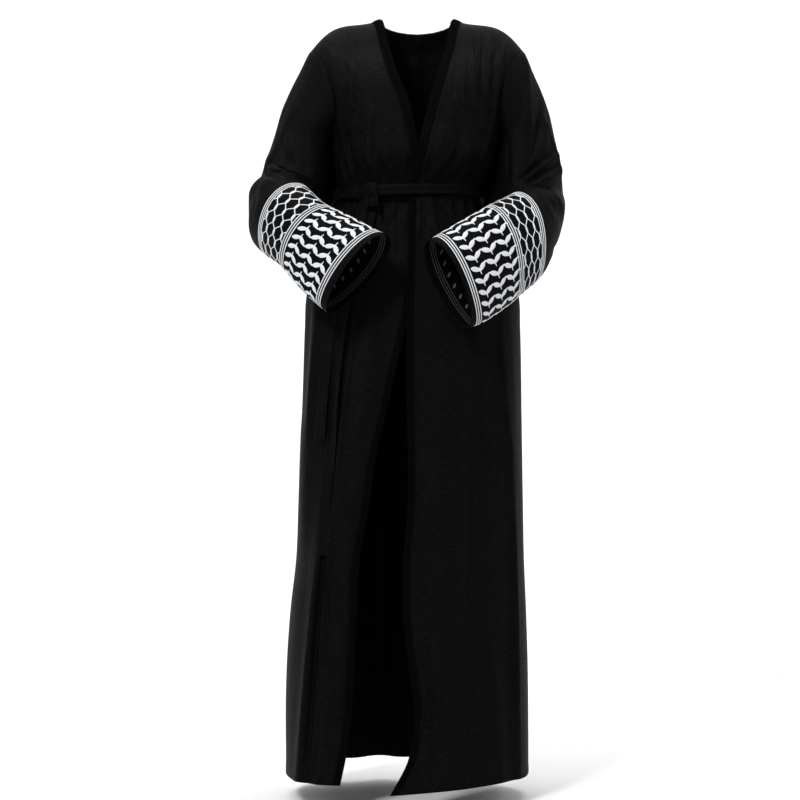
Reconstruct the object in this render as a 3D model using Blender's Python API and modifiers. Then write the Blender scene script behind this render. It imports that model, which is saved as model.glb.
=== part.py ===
"""Open-front abaya as it is worn: thin cloth walls for each cut piece, in metres.

The open front faces -Y and the garment's left side is +X. Z = 0 is the shoulder line.
"""
from collections import namedtuple
from math import pi

import bmesh
import bpy
import numpy as np

# Cloth and seams
WALL = 0.002
SEAM_GAP = 0.0005
RIDGE_GAP = 0.0013
SLOPE_GAP = 0.0024
UNDERARM_GAP = 0.0008
TIP_DROP = 0.4
LIE_GAP = 0.0005
TAIL_LIE_GAP = 0.0017
TRIM_WALL = 0.0032
TRIM_START = 0.0002
BELT_WALL = 0.0022

# Heights
UNDERARM = -0.215
WAIST = -0.320
HEM = -1.414

# Armhole, measured from the lean of the body
ARMHOLE_MIDDLE = -0.1325
ARMHOLE_TALL = 0.0825
ARMHOLE_DEEP = 0.075
ARMHOLE_OUT = 0.1785
ARMHOLE_TIP = 0.0235
ARMHOLE_BACK = 0.005
ARMHOLE_HOLLOW = {1: 0.022, -1: 0.010}

# Neck
NECK_POINT_OUT = 0.072
NECK_POINT_BACK = 0.022
NECK_POINT_UP = 0.012
BACK_NECK_DROP = -0.004
BACK_NECK_FADE = 0.13

# Belt
BELT_WIDE = 0.019
BELT_OUT = 0.0052
BELT_FRONT_OUT = 0.0085
BELT_BACK_OUT = 0.0045
BELT_DIP = 0.005
BELT_DIP_FROM = 0.08
BELT_DIP_SPAN = 0.25
BELT_SEGMENTS = 56
TIE_X = -0.0765
TIE_WIDE = 0.023
TIE_FLARE = 0.12
TIE_FLARE_LONG = 0.03
TIE_WALL = 0.002
TAIL_OFF = 0.0030
TAIL_START_OFF = 0.0015
TAIL_START_FALL = 0.03
TAIL_CELLS = 16

# The fold of the tie over the belt: how far out from the belt's inner face, and how far up
# from the belt's middle
TIE_PROFILE = (
    (-0.0005, 0.0138),
    (0.0024, 0.0144),
    (0.0052, 0.0126),
    (0.0059, 0.0060),
    (0.0058, -0.0100),
    (0.0064, -0.0200),
    (0.0072, -0.0300),
)

# How many walls' cells run across, and down from the shoulder to the hem
FRONT_CELLS = 18
BACK_CELLS = 30
LEVELS = (
    -0.011, -0.022, -0.040, -0.062, -0.088, -0.115, -0.143, -0.170, -0.195, -0.215,
    -0.236, -0.256, -0.274, -0.290, -0.303, -0.3115, -0.3205, -0.3295, -0.340, -0.354,
    -0.372, -0.395, -0.425, -0.465, -0.515, -0.575, -0.645, -0.725, -0.815, -0.910,
    -1.010, -1.110, -1.210, -1.300, -1.364, HEM,
)
SLEEVE_CELLS_ROUND = 20
SLEEVE_CELLS_LONG = 26

# Points along a curve before it is measured and cut into cells
ROW_SAMPLES = 160
NECK_SAMPLES = 40
BELT_SAMPLES = 400


def through(keys, values, at):
    """A smooth curve through the values, over rising keys, that never overshoots them."""
    step = np.diff(keys)
    slope = np.diff(values) / step
    before, after = slope[:-1], slope[1:]
    same = before * after > 0
    weight_1 = 2 * step[1:] + step[:-1]
    weight_2 = step[1:] + 2 * step[:-1]
    safe_before = np.where(same, before, 1)
    safe_after = np.where(same, after, 1)
    mean = (weight_1 + weight_2) / (weight_1 / safe_before + weight_2 / safe_after)
    tangent = np.concatenate(([slope[0]], np.where(same, mean, 0), [slope[-1]]))
    cell = np.clip(np.searchsorted(keys, at, side="right") - 1, 0, len(keys) - 2)
    t = np.clip((at - keys[cell]) / step[cell], 0, 1)
    rest = 1 - t
    return (
        (1 + 2 * t) * rest**2 * values[cell]
        + t * rest**2 * step[cell] * tangent[cell]
        + t**2 * (3 - 2 * t) * values[cell + 1]
        - t**2 * rest * step[cell] * tangent[cell + 1]
    )


class Table:
    """A short table whose named columns are read as smooth curves over its first column."""

    def __init__(self, names, *rows):
        columns = np.array(sorted(rows), float).T
        self.keys = columns[0]
        self.columns = dict(zip(names.split()[1:], columns[1:]))

    def __call__(self, name, at):
        return through(self.keys, self.columns[name], np.asarray(at, float))


def ease(t):
    """0 to 1 with soft ends."""
    t = np.clip(t, 0, 1)
    return t * t * (3 - 2 * t)


# The body of the garment at each height: how far it leans to the side, its half width at the
# side seam, how far its middle stands forward and back, how round its front and back rows are
# (1 is straight, 2 is round, more is squarer), and how much they swell between seam and edge
BODY = Table(
    "height lean half back round_front round_back swell_front swell_back",
    (0.000, 0.0095, 0.2020, 0.085, 1.00, 1.00, 0.000, 0.000),
    (-0.050, 0.0095, 0.2020, 0.099, 1.15, 1.10, 0.006, 0.006),
    (-0.110, 0.0090, 0.1800, 0.109, 1.35, 1.25, 0.012, 0.010),
    (-0.170, 0.0085, 0.1600, 0.110, 1.70, 1.55, 0.011, 0.010),
    (-0.215, 0.0070, 0.1550, 0.105, 2.05, 1.95, 0.007, 0.005),
    (-0.260, 0.0030, 0.1480, 0.097, 2.15, 2.05, 0.004, 0.000),
    (-0.320, -0.0075, 0.1345, 0.082, 2.10, 2.10, 0.000, 0.000),
    (-0.345, -0.0070, 0.1380, 0.086, 2.10, 2.10, 0.000, 0.000),
    (-0.420, -0.0030, 0.1690, 0.104, 2.15, 2.15, 0.000, 0.000),
    (-0.520, 0.0010, 0.2020, 0.126, 2.25, 2.20, 0.000, 0.000),
    (-0.790, -0.0010, 0.2090, 0.142, 2.35, 2.20, 0.000, 0.000),
    (-0.970, -0.0030, 0.2130, 0.150, 2.40, 2.20, 0.000, 0.000),
    (-1.060, -0.0065, 0.2185, 0.153, 2.40, 2.20, 0.000, 0.000),
    (-1.150, -0.0085, 0.2255, 0.157, 2.40, 2.20, 0.000, 0.000),
    (-1.290, -0.0105, 0.2290, 0.162, 2.40, 2.20, 0.000, 0.000),
    (-1.414, -0.0105, 0.2280, 0.166, 2.40, 2.20, 0.000, 0.000),
)

# The two front edges, from the neck point down the V and the open front to the hem corner
EDGE = {
    1: Table(
        "height x y z",
        (0.000, 0.0815, 0.022, 0.012),
        (-0.015, 0.0770, 0.005, 0.0095),
        (-0.035, 0.0705, -0.018, -0.008),
        (-0.062, 0.0650, -0.040, -0.040),
        (-0.100, 0.0485, -0.082, -0.099),
        (-0.146, 0.0348, -0.102, -0.146),
        (-0.196, 0.0217, -0.116, -0.196),
        (-0.250, 0.0100, -0.126, -0.250),
        (-0.320, -0.0045, -0.106, -0.320),
        (-0.400, -0.0080, -0.122, -0.400),
        (-0.528, -0.0099, -0.139, -0.528),
        (-0.668, -0.0118, -0.151, -0.668),
        (-0.786, -0.0085, -0.156, -0.786),
        (-0.960, -0.0100, -0.161, -0.960),
        (-0.998, -0.0170, -0.163, -0.998),
        (-1.093, -0.0173, -0.166, -1.093),
        (-1.181, -0.0082, -0.170, -1.181),
        (-1.290, 0.0028, -0.175, -1.290),
        (-1.330, 0.0050, -0.179, -1.332),
        (-1.372, -0.0130, -0.190, -1.380),
        (-1.414, -0.0410, -0.200, -1.432),
    ),
    -1: Table(
        "height x y z",
        (0.000, -0.0625, 0.022, 0.012),
        (-0.015, -0.0580, 0.005, 0.0095),
        (-0.035, -0.0515, -0.018, -0.008),
        (-0.062, -0.0450, -0.040, -0.040),
        (-0.100, -0.0290, -0.081, -0.099),
        (-0.146, -0.0098, -0.098, -0.146),
        (-0.196, 0.0030, -0.109, -0.196),
        (-0.250, 0.0130, -0.115, -0.250),
        (-0.320, 0.0150, -0.096, -0.320),
        (-0.400, 0.0130, -0.110, -0.400),
        (-0.528, -0.0030, -0.128, -0.528),
        (-0.600, -0.0170, -0.138, -0.600),
        (-0.668, -0.0338, -0.146, -0.668),
        (-0.746, -0.0503, -0.152, -0.746),
        (-0.795, -0.0650, -0.155, -0.795),
        (-0.857, -0.0700, -0.158, -0.857),
        (-0.914, -0.0814, -0.160, -0.914),
        (-0.971, -0.0942, -0.162, -0.971),
        (-1.049, -0.0997, -0.165, -1.049),
        (-1.159, -0.1051, -0.168, -1.159),
        (-1.246, -0.1087, -0.171, -1.246),
        (-1.334, -0.1160, -0.174, -1.334),
        (-1.414, -0.1320, -0.178, -1.416),
    ),
}

# The brush trim is wide at the neck and narrower down the open front
TRIM_WIDE = Table(
    "height wide",
    (0.000, 0.0200),
    (-0.200, 0.0200),
    (-0.330, 0.0150),
    (-0.700, 0.0145),
    (-1.414, 0.0145),
)

NECK_TRIM_WIDE = 0.020
NECK_TRIM_CELLS = 24
NECK_TRIM_OFF = 0.0018

# The middle line of each hanging end of the belt
TAIL_SHORT = Table(
    "height x",
    (-0.3360, -0.0830),
    (-0.3980, -0.0970),
    (-0.4720, -0.1240),
    (-0.5460, -0.1430),
    (-0.6000, -0.1500),
    (-0.7125, -0.1600),
    (-0.7880, -0.1645),
)
TAIL_LONG = Table(
    "height x",
    (-0.3360, -0.0710),
    (-0.3980, -0.0820),
    (-0.4720, -0.1050),
    (-0.5460, -0.1240),
    (-0.6000, -0.1320),
    (-0.7125, -0.1420),
    (-0.7880, -0.1460),
    (-0.8960, -0.1560),
    (-0.9990, -0.1610),
)

# A fold runs down a panel between two heights, through three places across it. Its rise is
# how far it stands proud, or sinks where negative. A pleat drops sharply on the side away
# from the front edge and dies out slowly on the other.
Fold = namedtuple("Fold", "top bottom x_top x_middle x_bottom rise wide kind")
FRONT_FOLDS = {
    1: (
        Fold(-0.44, -1.60, 0.168, 0.191, 0.205, 0.0070, 0.016, "ridge"),
        Fold(-0.40, -1.60, 0.060, 0.068, 0.066, 0.0035, 0.030, "ridge"),
        Fold(-0.62, -1.30, 0.118, 0.114, 0.104, -0.0065, 0.024, "ridge"),
        Fold(-0.36, -0.66, 0.078, 0.092, 0.104, -0.0050, 0.012, "ridge"),
        Fold(0.00, -0.15, 0.125, 0.125, 0.123, 0.0030, 0.007, "ridge"),
        Fold(0.00, -0.17, 0.150, 0.148, 0.146, 0.0030, 0.007, "ridge"),
        Fold(-0.03, -0.33, 0.181, 0.164, 0.118, 0.0060, 0.012, "ridge"),
        Fold(-0.14, -0.32, 0.092, 0.086, 0.078, -0.0045, 0.010, "ridge"),
        Fold(-0.19, -0.32, 0.055, 0.052, 0.050, 0.0040, 0.009, "ridge"),
    ),
    -1: (
        Fold(-0.37, -1.60, -0.112, -0.146, -0.190, 0.0130, 0.060, "pleat"),
        Fold(-0.80, -1.60, -0.150, -0.187, -0.214, 0.0090, 0.016, "ridge"),
        Fold(-0.42, -1.02, -0.160, -0.192, -0.200, 0.0060, 0.013, "ridge"),
        Fold(-0.37, -0.85, -0.062, -0.082, -0.096, 0.0040, 0.016, "ridge"),
        Fold(0.00, -0.16, -0.112, -0.112, -0.110, 0.0030, 0.007, "ridge"),
        Fold(-0.02, -0.24, -0.150, -0.148, -0.140, 0.0045, 0.010, "ridge"),
        Fold(-0.12, -0.33, -0.164, -0.140, -0.112, 0.0070, 0.012, "ridge"),
        Fold(-0.17, -0.33, -0.142, -0.122, -0.100, -0.0060, 0.009, "ridge"),
        Fold(-0.13, -0.32, -0.078, -0.074, -0.068, 0.0045, 0.009, "ridge"),
        Fold(-0.20, -0.32, -0.040, -0.036, -0.032, -0.0035, 0.010, "ridge"),
    ),
}
BACK_FOLDS = (
    Fold(-0.37, -1.60, -0.134, -0.152, -0.178, 0.0120, 0.026, "ridge"),
    Fold(-0.42, -1.60, -0.092, -0.104, -0.122, -0.0100, 0.020, "ridge"),
    Fold(-0.35, -1.60, -0.052, -0.058, -0.066, 0.0130, 0.024, "ridge"),
    Fold(-0.45, -1.60, -0.014, -0.016, -0.022, -0.0110, 0.020, "ridge"),
    Fold(-0.34, -1.60, 0.024, 0.030, 0.034, 0.0120, 0.022, "ridge"),
    Fold(-0.48, -1.60, 0.064, 0.074, 0.082, -0.0100, 0.022, "ridge"),
    Fold(-0.36, -1.60, 0.104, 0.122, 0.136, 0.0130, 0.024, "ridge"),
    Fold(-0.44, -1.60, 0.150, 0.170, 0.186, -0.0090, 0.018, "ridge"),
    Fold(-0.05, -0.30, -0.118, -0.104, -0.082, 0.0060, 0.016, "ridge"),
    Fold(-0.09, -0.31, -0.050, -0.046, -0.038, 0.0045, 0.014, "ridge"),
    Fold(-0.08, -0.31, 0.046, 0.044, 0.036, 0.0050, 0.015, "ridge"),
    Fold(-0.04, -0.30, 0.132, 0.114, 0.092, 0.0060, 0.016, "ridge"),
)

# A fold fades out toward a seam, grows over the first part of its length and dies over the last
FOLD_FADE = 0.020
FOLD_GROWS = 0.22
FOLD_DIES = 0.15
PLEAT_EDGE = 0.20

# The cloth is gathered under the belt, in small uneven waves that die out above and below
GATHER_RISE = 0.0042
GATHER_PITCH = 0.026
GATHER_DRIFT = 0.34
GATHER_DRIFT_PITCH = 0.115
GATHER_DRIFT_START = 1.3
GATHER_FLAT = 0.012
GATHER_REACH = 0.052
GATHER_REACH_DRIFT = 0.026
GATHER_REACH_PITCH = 0.071
GATHER_REACH_START = 2.0
GATHER_GROWS = 0.014
GATHER_START = {1: 0.0, -1: 0.6}

# Each sleeve as rings: a point of its crook line, which becomes its upper edge, a point of
# its elbow line, which becomes its lower edge, and its half thickness between them
SLEEVE_RINGS = {
    1: (
        ("below armhole", 0.189, -0.058, -0.213, 0.237, 0.055, -0.137, 0.041),
        ("upper arm", 0.186, -0.060, -0.250, 0.251, 0.054, -0.205, 0.049),
        ("above elbow", 0.183, -0.064, -0.296, 0.266, 0.052, -0.262, 0.057),
        ("elbow top", 0.178, -0.072, -0.320, 0.271, 0.048, -0.322, 0.063),
        ("elbow", 0.190, -0.086, -0.324, 0.269, 0.022, -0.376, 0.058),
        ("upper lines", 0.205, -0.102, -0.324, 0.246, -0.016, -0.440, 0.054),
        ("net", 0.180, -0.127, -0.336, 0.232, -0.076, -0.484, 0.054),
        ("middle lines", 0.150, -0.151, -0.351, 0.199, -0.124, -0.517, 0.050),
        ("leaves", 0.102, -0.184, -0.379, 0.161, -0.168, -0.549, 0.047),
        ("cuff lines", 0.050, -0.216, -0.411, 0.118, -0.206, -0.576, 0.045),
        ("cuff rim", 0.028, -0.229, -0.425, 0.101, -0.221, -0.582, 0.044),
    ),
    -1: (
        ("below armhole", -0.175, -0.058, -0.213, -0.225, 0.055, -0.137, 0.041),
        ("upper arm", -0.177, -0.060, -0.250, -0.243, 0.054, -0.205, 0.049),
        ("above elbow", -0.179, -0.063, -0.288, -0.263, 0.052, -0.262, 0.057),
        ("elbow top", -0.184, -0.068, -0.304, -0.277, 0.046, -0.318, 0.063),
        ("elbow", -0.202, -0.078, -0.302, -0.290, 0.018, -0.372, 0.062),
        ("upper lines", -0.214, -0.092, -0.306, -0.285, -0.020, -0.422, 0.058),
        ("net", -0.192, -0.121, -0.326, -0.269, -0.074, -0.444, 0.054),
        ("middle lines", -0.164, -0.147, -0.350, -0.245, -0.121, -0.462, 0.050),
        ("leaves", -0.114, -0.176, -0.377, -0.207, -0.158, -0.506, 0.047),
        ("cuff lines", -0.062, -0.204, -0.406, -0.165, -0.194, -0.545, 0.045),
        ("cuff rim", -0.044, -0.216, -0.416, -0.153, -0.206, -0.554, 0.044),
    ),
}
CROOK_TURN = 0.75 * pi
SLEEVE_DROOP = 0.16
SLEEVE_GIRTH = 0.44
SLEEVE_LONG = 0.55
SLEEVE_FOLD_START = 0.12
SLEEVE_FOLD_RUN = 0.76

# Sleeve folds run between two places: how far along, from armhole 0 to rim 1, and the turn
# round the sleeve, where 0 is the outer side, a quarter is the front and a half the inner side
SleeveFold = namedtuple("SleeveFold", "along turn along_end turn_end rise wide")
SLEEVE_FOLDS = (
    SleeveFold(0.36, 0.02, 0.47, 0.36, -0.0060, 0.012),
    SleeveFold(0.42, -0.02, 0.52, 0.30, 0.0050, 0.011),
    SleeveFold(0.30, 0.05, 0.42, 0.40, 0.0040, 0.012),
    SleeveFold(0.05, 0.04, 0.34, 0.10, 0.0045, 0.015),
    SleeveFold(0.06, 0.17, 0.36, 0.27, -0.0045, 0.014),
    SleeveFold(0.08, 0.30, 0.40, 0.36, 0.0040, 0.012),
    SleeveFold(0.05, -0.10, 0.40, -0.16, 0.0050, 0.016),
    SleeveFold(0.10, -0.26, 0.38, -0.30, -0.0050, 0.015),
    SleeveFold(0.40, -0.10, 0.56, -0.34, -0.0050, 0.012),
)


def lift(folds, x, height):
    """How far the folds stand proud of the panel at each place."""
    total = np.zeros_like(x)
    for fold in folds:
        down = (fold.top - height) / (fold.top - fold.bottom)
        middle = 2 * fold.x_middle - 0.5 * (fold.x_top + fold.x_bottom)
        run = np.clip(down, 0, 1)
        line = (
            (1 - run) ** 2 * fold.x_top + 2 * run * (1 - run) * middle + run**2 * fold.x_bottom
        )
        strength = ease(down / FOLD_GROWS) * ease((1 - down) / FOLD_DIES)
        off = (x - line) / fold.wide
        if fold.kind == "pleat":
            toward_edge = off * np.sign(-fold.x_top)
            shape = ease(toward_edge / PLEAT_EDGE + 0.5) * np.exp(-np.clip(toward_edge, 0, 9))
        else:
            shape = np.exp(-(off**2))
        total += fold.rise * strength * shape
    return total


def gathers(across, height):
    """Small uneven waves above and below the belt; across is metres round the waist."""
    drift = GATHER_DRIFT * np.sin(2 * pi * across / GATHER_DRIFT_PITCH + GATHER_DRIFT_START)
    wave = np.cos(2 * pi * (across / GATHER_PITCH + drift))
    turn = 2 * pi * across / GATHER_REACH_PITCH + GATHER_REACH_START
    reach = GATHER_REACH + GATHER_REACH_DRIFT * np.sin(turn)
    away = np.clip(np.abs(height - WAIST) - GATHER_FLAT, 0, 1)
    return GATHER_RISE * wave * ease(away / GATHER_GROWS) * np.exp(-((away / reach) ** 2))


def armhole(side, face, height):
    """A point of the armhole seam. Height counts down from the shoulder tip to the underarm."""
    turn = pi * np.clip(height / UNDERARM, 0, 1)
    lean = BODY("lean", ARMHOLE_MIDDLE + ARMHOLE_TALL * np.cos(turn))
    hollow = ARMHOLE_HOLLOW[face] * np.sin(turn) ** 2
    out = ARMHOLE_OUT + ARMHOLE_TIP * np.cos(turn) - hollow
    return np.array(
        (
            lean + side * out,
            ARMHOLE_BACK * (1 + np.cos(turn)) - face * ARMHOLE_DEEP * np.sin(turn),
            ARMHOLE_MIDDLE + ARMHOLE_TALL * np.cos(turn),
        )
    )


def side_point(side, face, height):
    """Where a row starts: on the armhole, and below it on the side seam."""
    if height > UNDERARM:
        return armhole(side, face, height)
    return np.array((BODY("lean", height) + side * BODY("half", height), 0.0, height))


def row(start, end, roundness, swell, face, shares):
    """One row of a panel, from the side to its other edge, at shares of its own length."""
    t = np.linspace(0, pi / 2, ROW_SAMPLES)
    along = 1 - np.cos(t) ** (2 / roundness)
    out = np.sin(t) ** (2 / roundness)
    x = start[0] + (end[0] - start[0]) * along
    y = start[1] + (end[1] - start[1]) * out - face * swell * np.sin(2 * t)
    z = start[2] + (end[2] - start[2]) * along
    path = np.stack((x, y, z), axis=1)
    length = np.concatenate(([0], np.cumsum(np.linalg.norm(np.diff(path, axis=0), axis=1))))
    want = shares * length[-1]
    return np.stack([np.interp(want, length, path[:, k]) for k in range(3)], axis=1), length[-1]


def outward(grid, toward):
    """Unit normals of a grid of points, turned to the side that toward points to."""
    across = np.gradient(grid, axis=1)
    down = np.gradient(grid, axis=0)
    normal = np.cross(across, down)
    normal /= np.maximum(np.linalg.norm(normal, axis=2, keepdims=True), 1e-12)
    middle = normal[normal.shape[0] // 2, normal.shape[1] // 2]
    return normal if np.dot(middle, toward) > 0 else -normal


def front_points(side, heights, cells):
    """The outer face of a front panel. Its last cells lie under the trim."""
    rows, lengths = [], []
    for height in heights:
        start = side_point(side, 1, height)
        end = np.array([EDGE[side](name, height) for name in "xyz"])
        roundness, swell = BODY("round_front", height), BODY("swell_front", height)
        _, length = row(start, end, roundness, swell, 1, np.array([0.0, 1.0]))
        gap = SEAM_GAP / length
        inner = 1 - TRIM_WIDE("wide", height) / length
        shares = np.append(np.linspace(gap, inner, cells), 1.0)
        points, _ = row(start, end, roundness, swell, 1, shares)
        rows.append(points)
        lengths.append(shares * length)
    grid = np.array(rows)
    across = np.array(lengths)
    level = np.array(heights)[:, None] + 0 * across
    near_seam = ease(across / FOLD_FADE)
    near_edge = ease((across[:, -1:] - across) / FOLD_FADE)
    rise = lift(FRONT_FOLDS[side], grid[:, :, 0], level) * near_seam
    rise += gathers(across, level) * near_seam * near_edge
    return grid + outward(grid, (0, -1, 0)) * rise[:, :, None]


def back_top(cells):
    """Half the top edge of the back panel: the shoulder seam, then the neck to its middle.

    Gives its points on the left side, and their shares of its length."""
    tip = armhole(1, -1, 0.0)
    lean, deep = BODY("lean", 0.0), BODY("back", 0.0)
    bend = np.linspace(0, pi / 2, NECK_SAMPLES)
    neck = np.stack(
        (
            lean + NECK_POINT_OUT * np.cos(bend),
            NECK_POINT_BACK + (deep - NECK_POINT_BACK) * np.sin(bend),
            NECK_POINT_UP + (BACK_NECK_DROP - NECK_POINT_UP) * np.sin(bend),
        ),
        axis=1,
    )
    path = np.vstack((tip, neck))
    length = np.concatenate(([0], np.cumsum(np.linalg.norm(np.diff(path, axis=0), axis=1))))
    corner_share = length[1] / length[-1]
    corner = round(cells * corner_share)
    shares = np.concatenate(
        (
            np.linspace(0, corner_share, corner + 1)[:-1],
            np.linspace(corner_share, 1, cells - corner + 1),
        )
    )
    points = [np.interp(shares * length[-1], length, path[:, k]) for k in range(3)]
    return np.stack(points, axis=1), shares, corner


def back_half(side, heights, cells):
    """Half the back panel, from its side to its middle, and the way across it in metres."""
    top, shares, _ = back_top(cells)
    lean = BODY("lean", 0.0)
    top[:, 0] = lean + side * (top[:, 0] - lean)
    rows, spans = [], []
    for height in (0.0,) + tuple(heights):
        start = side_point(side, -1, height)
        end_z = max(height, UNDERARM) * (1 - BACK_NECK_DROP / UNDERARM) + BACK_NECK_DROP
        end_z += min(height - UNDERARM, 0)
        end = np.array((BODY("lean", height), BODY("back", height), end_z))
        roundness, swell = BODY("round_back", height), BODY("swell_back", height)
        _, span = row(start, end, roundness, swell, -1, np.array([0.0, 1.0]))
        seamed = shares.copy()
        seamed[0] = SEAM_GAP / span
        points, _ = row(start, end, roundness, swell, -1, seamed)
        rows.append(points)
        spans.append(seamed * span)
    fade = 1 - ease(-np.array(heights) / BACK_NECK_FADE)
    grid = np.array(rows[1:]) + fade[:, None, None] * (top - rows[0])[None]
    return grid, np.array(spans[1:])


def back_points(heights, cells):
    """The outer face of the back panel, from its right side to its left."""
    right, right_across = back_half(-1, heights, cells // 2)
    left, left_across = back_half(1, heights, cells // 2)
    grid = np.concatenate((right, left[:, ::-1][:, 1:]), axis=1)
    distance = np.concatenate((right_across, left_across[:, ::-1][:, 1:]), axis=1)
    start = np.where(np.arange(grid.shape[1]) <= cells // 2, GATHER_START[1], GATHER_START[-1])
    level = np.array(heights)[:, None] + 0 * distance
    rise = lift(BACK_FOLDS, grid[:, :, 0], level) + gathers(distance + start, level)
    rise *= ease(distance / FOLD_FADE)
    return grid + outward(grid, (0, 1, 0)) * rise[:, :, None]


def over(grid, facing, row_at, column_at, off):
    """A point over a panel, at a place counted in its rows and columns, moved out."""
    i = min(int(row_at), grid.shape[0] - 2)
    j = min(int(column_at), grid.shape[1] - 2)
    v, u = row_at - i, column_at - j
    near = grid[i : i + 2, j : j + 2] + off * facing[i : i + 2, j : j + 2]
    return (1 - v) * ((1 - u) * near[0, 0] + u * near[0, 1]) + v * (
        (1 - u) * near[1, 0] + u * near[1, 1]
    )


def armhole_loop(side, turns):
    """The armhole seam as the sleeve meets it. Turn 0 is the tip, then front, inner, back."""
    points = []
    for turn in turns:
        bent = (turn + pi) % (2 * pi) - pi
        face = 1 if bent >= 0 else -1
        point = armhole(side, face, UNDERARM * abs(bent) / pi)
        above, below = max(0, np.cos(bent)), max(0, -np.cos(bent))
        gap = SEAM_GAP + RIDGE_GAP * above + UNDERARM_GAP * below + SLOPE_GAP * abs(np.sin(bent))
        points.append(point + gap * np.array((side, 0, -TIP_DROP * above)))
    return np.array(points)


def sleeve_points(side, shares, turns):
    """The outer face of a sleeve at shares of its length and turns round it."""
    rings = SLEEVE_RINGS[side]
    crook = np.array([ring[1:4] for ring in rings])
    elbow = np.array([ring[4:7] for ring in rings])
    thick = np.array([ring[7] for ring in rings])
    centre = (crook + elbow) / 2
    up = (crook - elbow) / 2
    axis = np.gradient(centre, axis=0)
    away = np.cross(axis, up) * side
    away *= (thick / np.linalg.norm(away, axis=1))[:, None]
    angle = turns - CROOK_TURN
    droop = 1 + SLEEVE_DROOP * np.cos(angle)
    loops = [armhole_loop(side, turns)]
    for k in range(len(rings)):
        loops.append(
            centre[k]
            + up[k] * np.cos(angle)[:, None]
            + away[k] * (np.sin(angle) * droop)[:, None]
        )
    loops = np.array(loops)
    middles = loops.mean(axis=1)
    station = np.concatenate(
        ([0], np.cumsum(np.linalg.norm(np.diff(middles, axis=0), axis=1)))
    )
    station /= station[-1]
    grid = np.empty((len(shares), len(turns), 3))
    for k in range(len(turns)):
        for axis_index in range(3):
            grid[:, k, axis_index] = through(station, loops[:, k, axis_index], shares)
    around = np.concatenate((grid[:, -2:-1], grid, grid[:, 1:2]), axis=1)
    normal = outward(around, (0, 0, 0))[:, 1:-1]
    hub = np.array([[through(station, middles[:, i], s) for i in range(3)] for s in shares])
    if np.sum(normal * (grid - hub[:, None, :])) < 0:
        normal = -normal
    rise = np.zeros(grid.shape[:2])
    share = np.array(shares)[:, None] * SLEEVE_LONG
    turn = ((turns / (2 * pi) + 0.5) % 1 - 0.5)[None, :] * SLEEVE_GIRTH
    for fold in SLEEVE_FOLDS:
        start = np.array((fold.along * SLEEVE_LONG, fold.turn * SLEEVE_GIRTH))
        end = np.array((fold.along_end * SLEEVE_LONG, fold.turn_end * SLEEVE_GIRTH))
        way = end - start
        t = np.clip(
            ((share - start[0]) * way[0] + (turn - start[1]) * way[1]) / np.dot(way, way), 0, 1
        )
        off = np.hypot(share - start[0] - t * way[0], turn - start[1] - t * way[1])
        strength = np.sin(pi * (SLEEVE_FOLD_START + SLEEVE_FOLD_RUN * t))
        rise += fold.rise * strength * np.exp(-((off / fold.wide) ** 2))
    return grid + normal * rise[:, :, None]


def belt_ring(turns, out):
    """The belt's inner face round the waist, at a distance off the cloth."""
    lean, half = BODY("lean", WAIST), BODY("half", WAIST)
    front = -EDGE[1]("y", WAIST) + BELT_FRONT_OUT
    back = BODY("back", WAIST) + BELT_BACK_OUT
    power = 2 / BODY("round_front", WAIST)
    x = lean + np.sign(np.cos(turns)) * np.abs(np.cos(turns)) ** power * (half + BELT_OUT + out)
    deep = np.where(np.sin(turns) < 0, front, back) + out
    y = np.sign(np.sin(turns)) * np.abs(np.sin(turns)) ** power * deep
    z = WAIST - BELT_DIP * ease((BELT_DIP_FROM - x) / BELT_DIP_SPAN)
    return np.stack((x, y, z), axis=1)


def cloth_material(name, colour, roughness):
    """A plain cloth finish."""
    material = bpy.data.materials.new(name)
    material.use_nodes = True
    shader = material.node_tree.nodes["Principled BSDF"]
    shader.inputs["Base Color"].default_value = (*colour, 1)
    shader.inputs["Roughness"].default_value = roughness
    shader.inputs["Metallic"].default_value = 0.0
    return material


def wall(name, grid, thick, toward, material, collection, closed=False):
    """A cloth wall: a grid of points made solid to the side that toward points away from."""
    rows, columns = grid.shape[:2]
    bm = bmesh.new()
    bmesh.ops.create_grid(bm, x_segments=columns - 1, y_segments=rows - 1, size=1)
    bm.verts.ensure_lookup_table()
    for index, vert in enumerate(bm.verts):
        vert.co = grid[index // columns, index % columns]
    if closed:
        bmesh.ops.remove_doubles(bm, verts=bm.verts, dist=1e-6)
    bm.normal_update()
    bm.faces.ensure_lookup_table()
    middle = bm.faces[((rows - 1) // 2) * (columns - 1) + (columns - 1) // 2]
    if middle.normal.dot(toward) < 0:
        bmesh.ops.reverse_faces(bm, faces=bm.faces)
    mesh = bpy.data.meshes.new(name)
    bm.to_mesh(mesh)
    bm.free()
    mesh.shade_smooth()
    part = bpy.data.objects.new(name, mesh)
    collection.objects.link(part)
    mesh.materials.append(material)
    solid = part.modifiers.new("Wall", "SOLIDIFY")
    solid.thickness = thick
    solid.offset = -1
    solid.use_rim = True
    return part


def make_panels(cloth, collection):
    """Back, two fronts: each from shoulder seam to hem."""
    heights = (-RIDGE_GAP,) + LEVELS
    for side, name in ((-1, "front_panel_right"), (1, "front_panel_left")):
        wall(name, front_points(side, heights, FRONT_CELLS), WALL, (0, -1, 0), cloth, collection)
    wall("back_panel", back_points(heights, BACK_CELLS), WALL, (0, 1, 0), cloth, collection)


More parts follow.
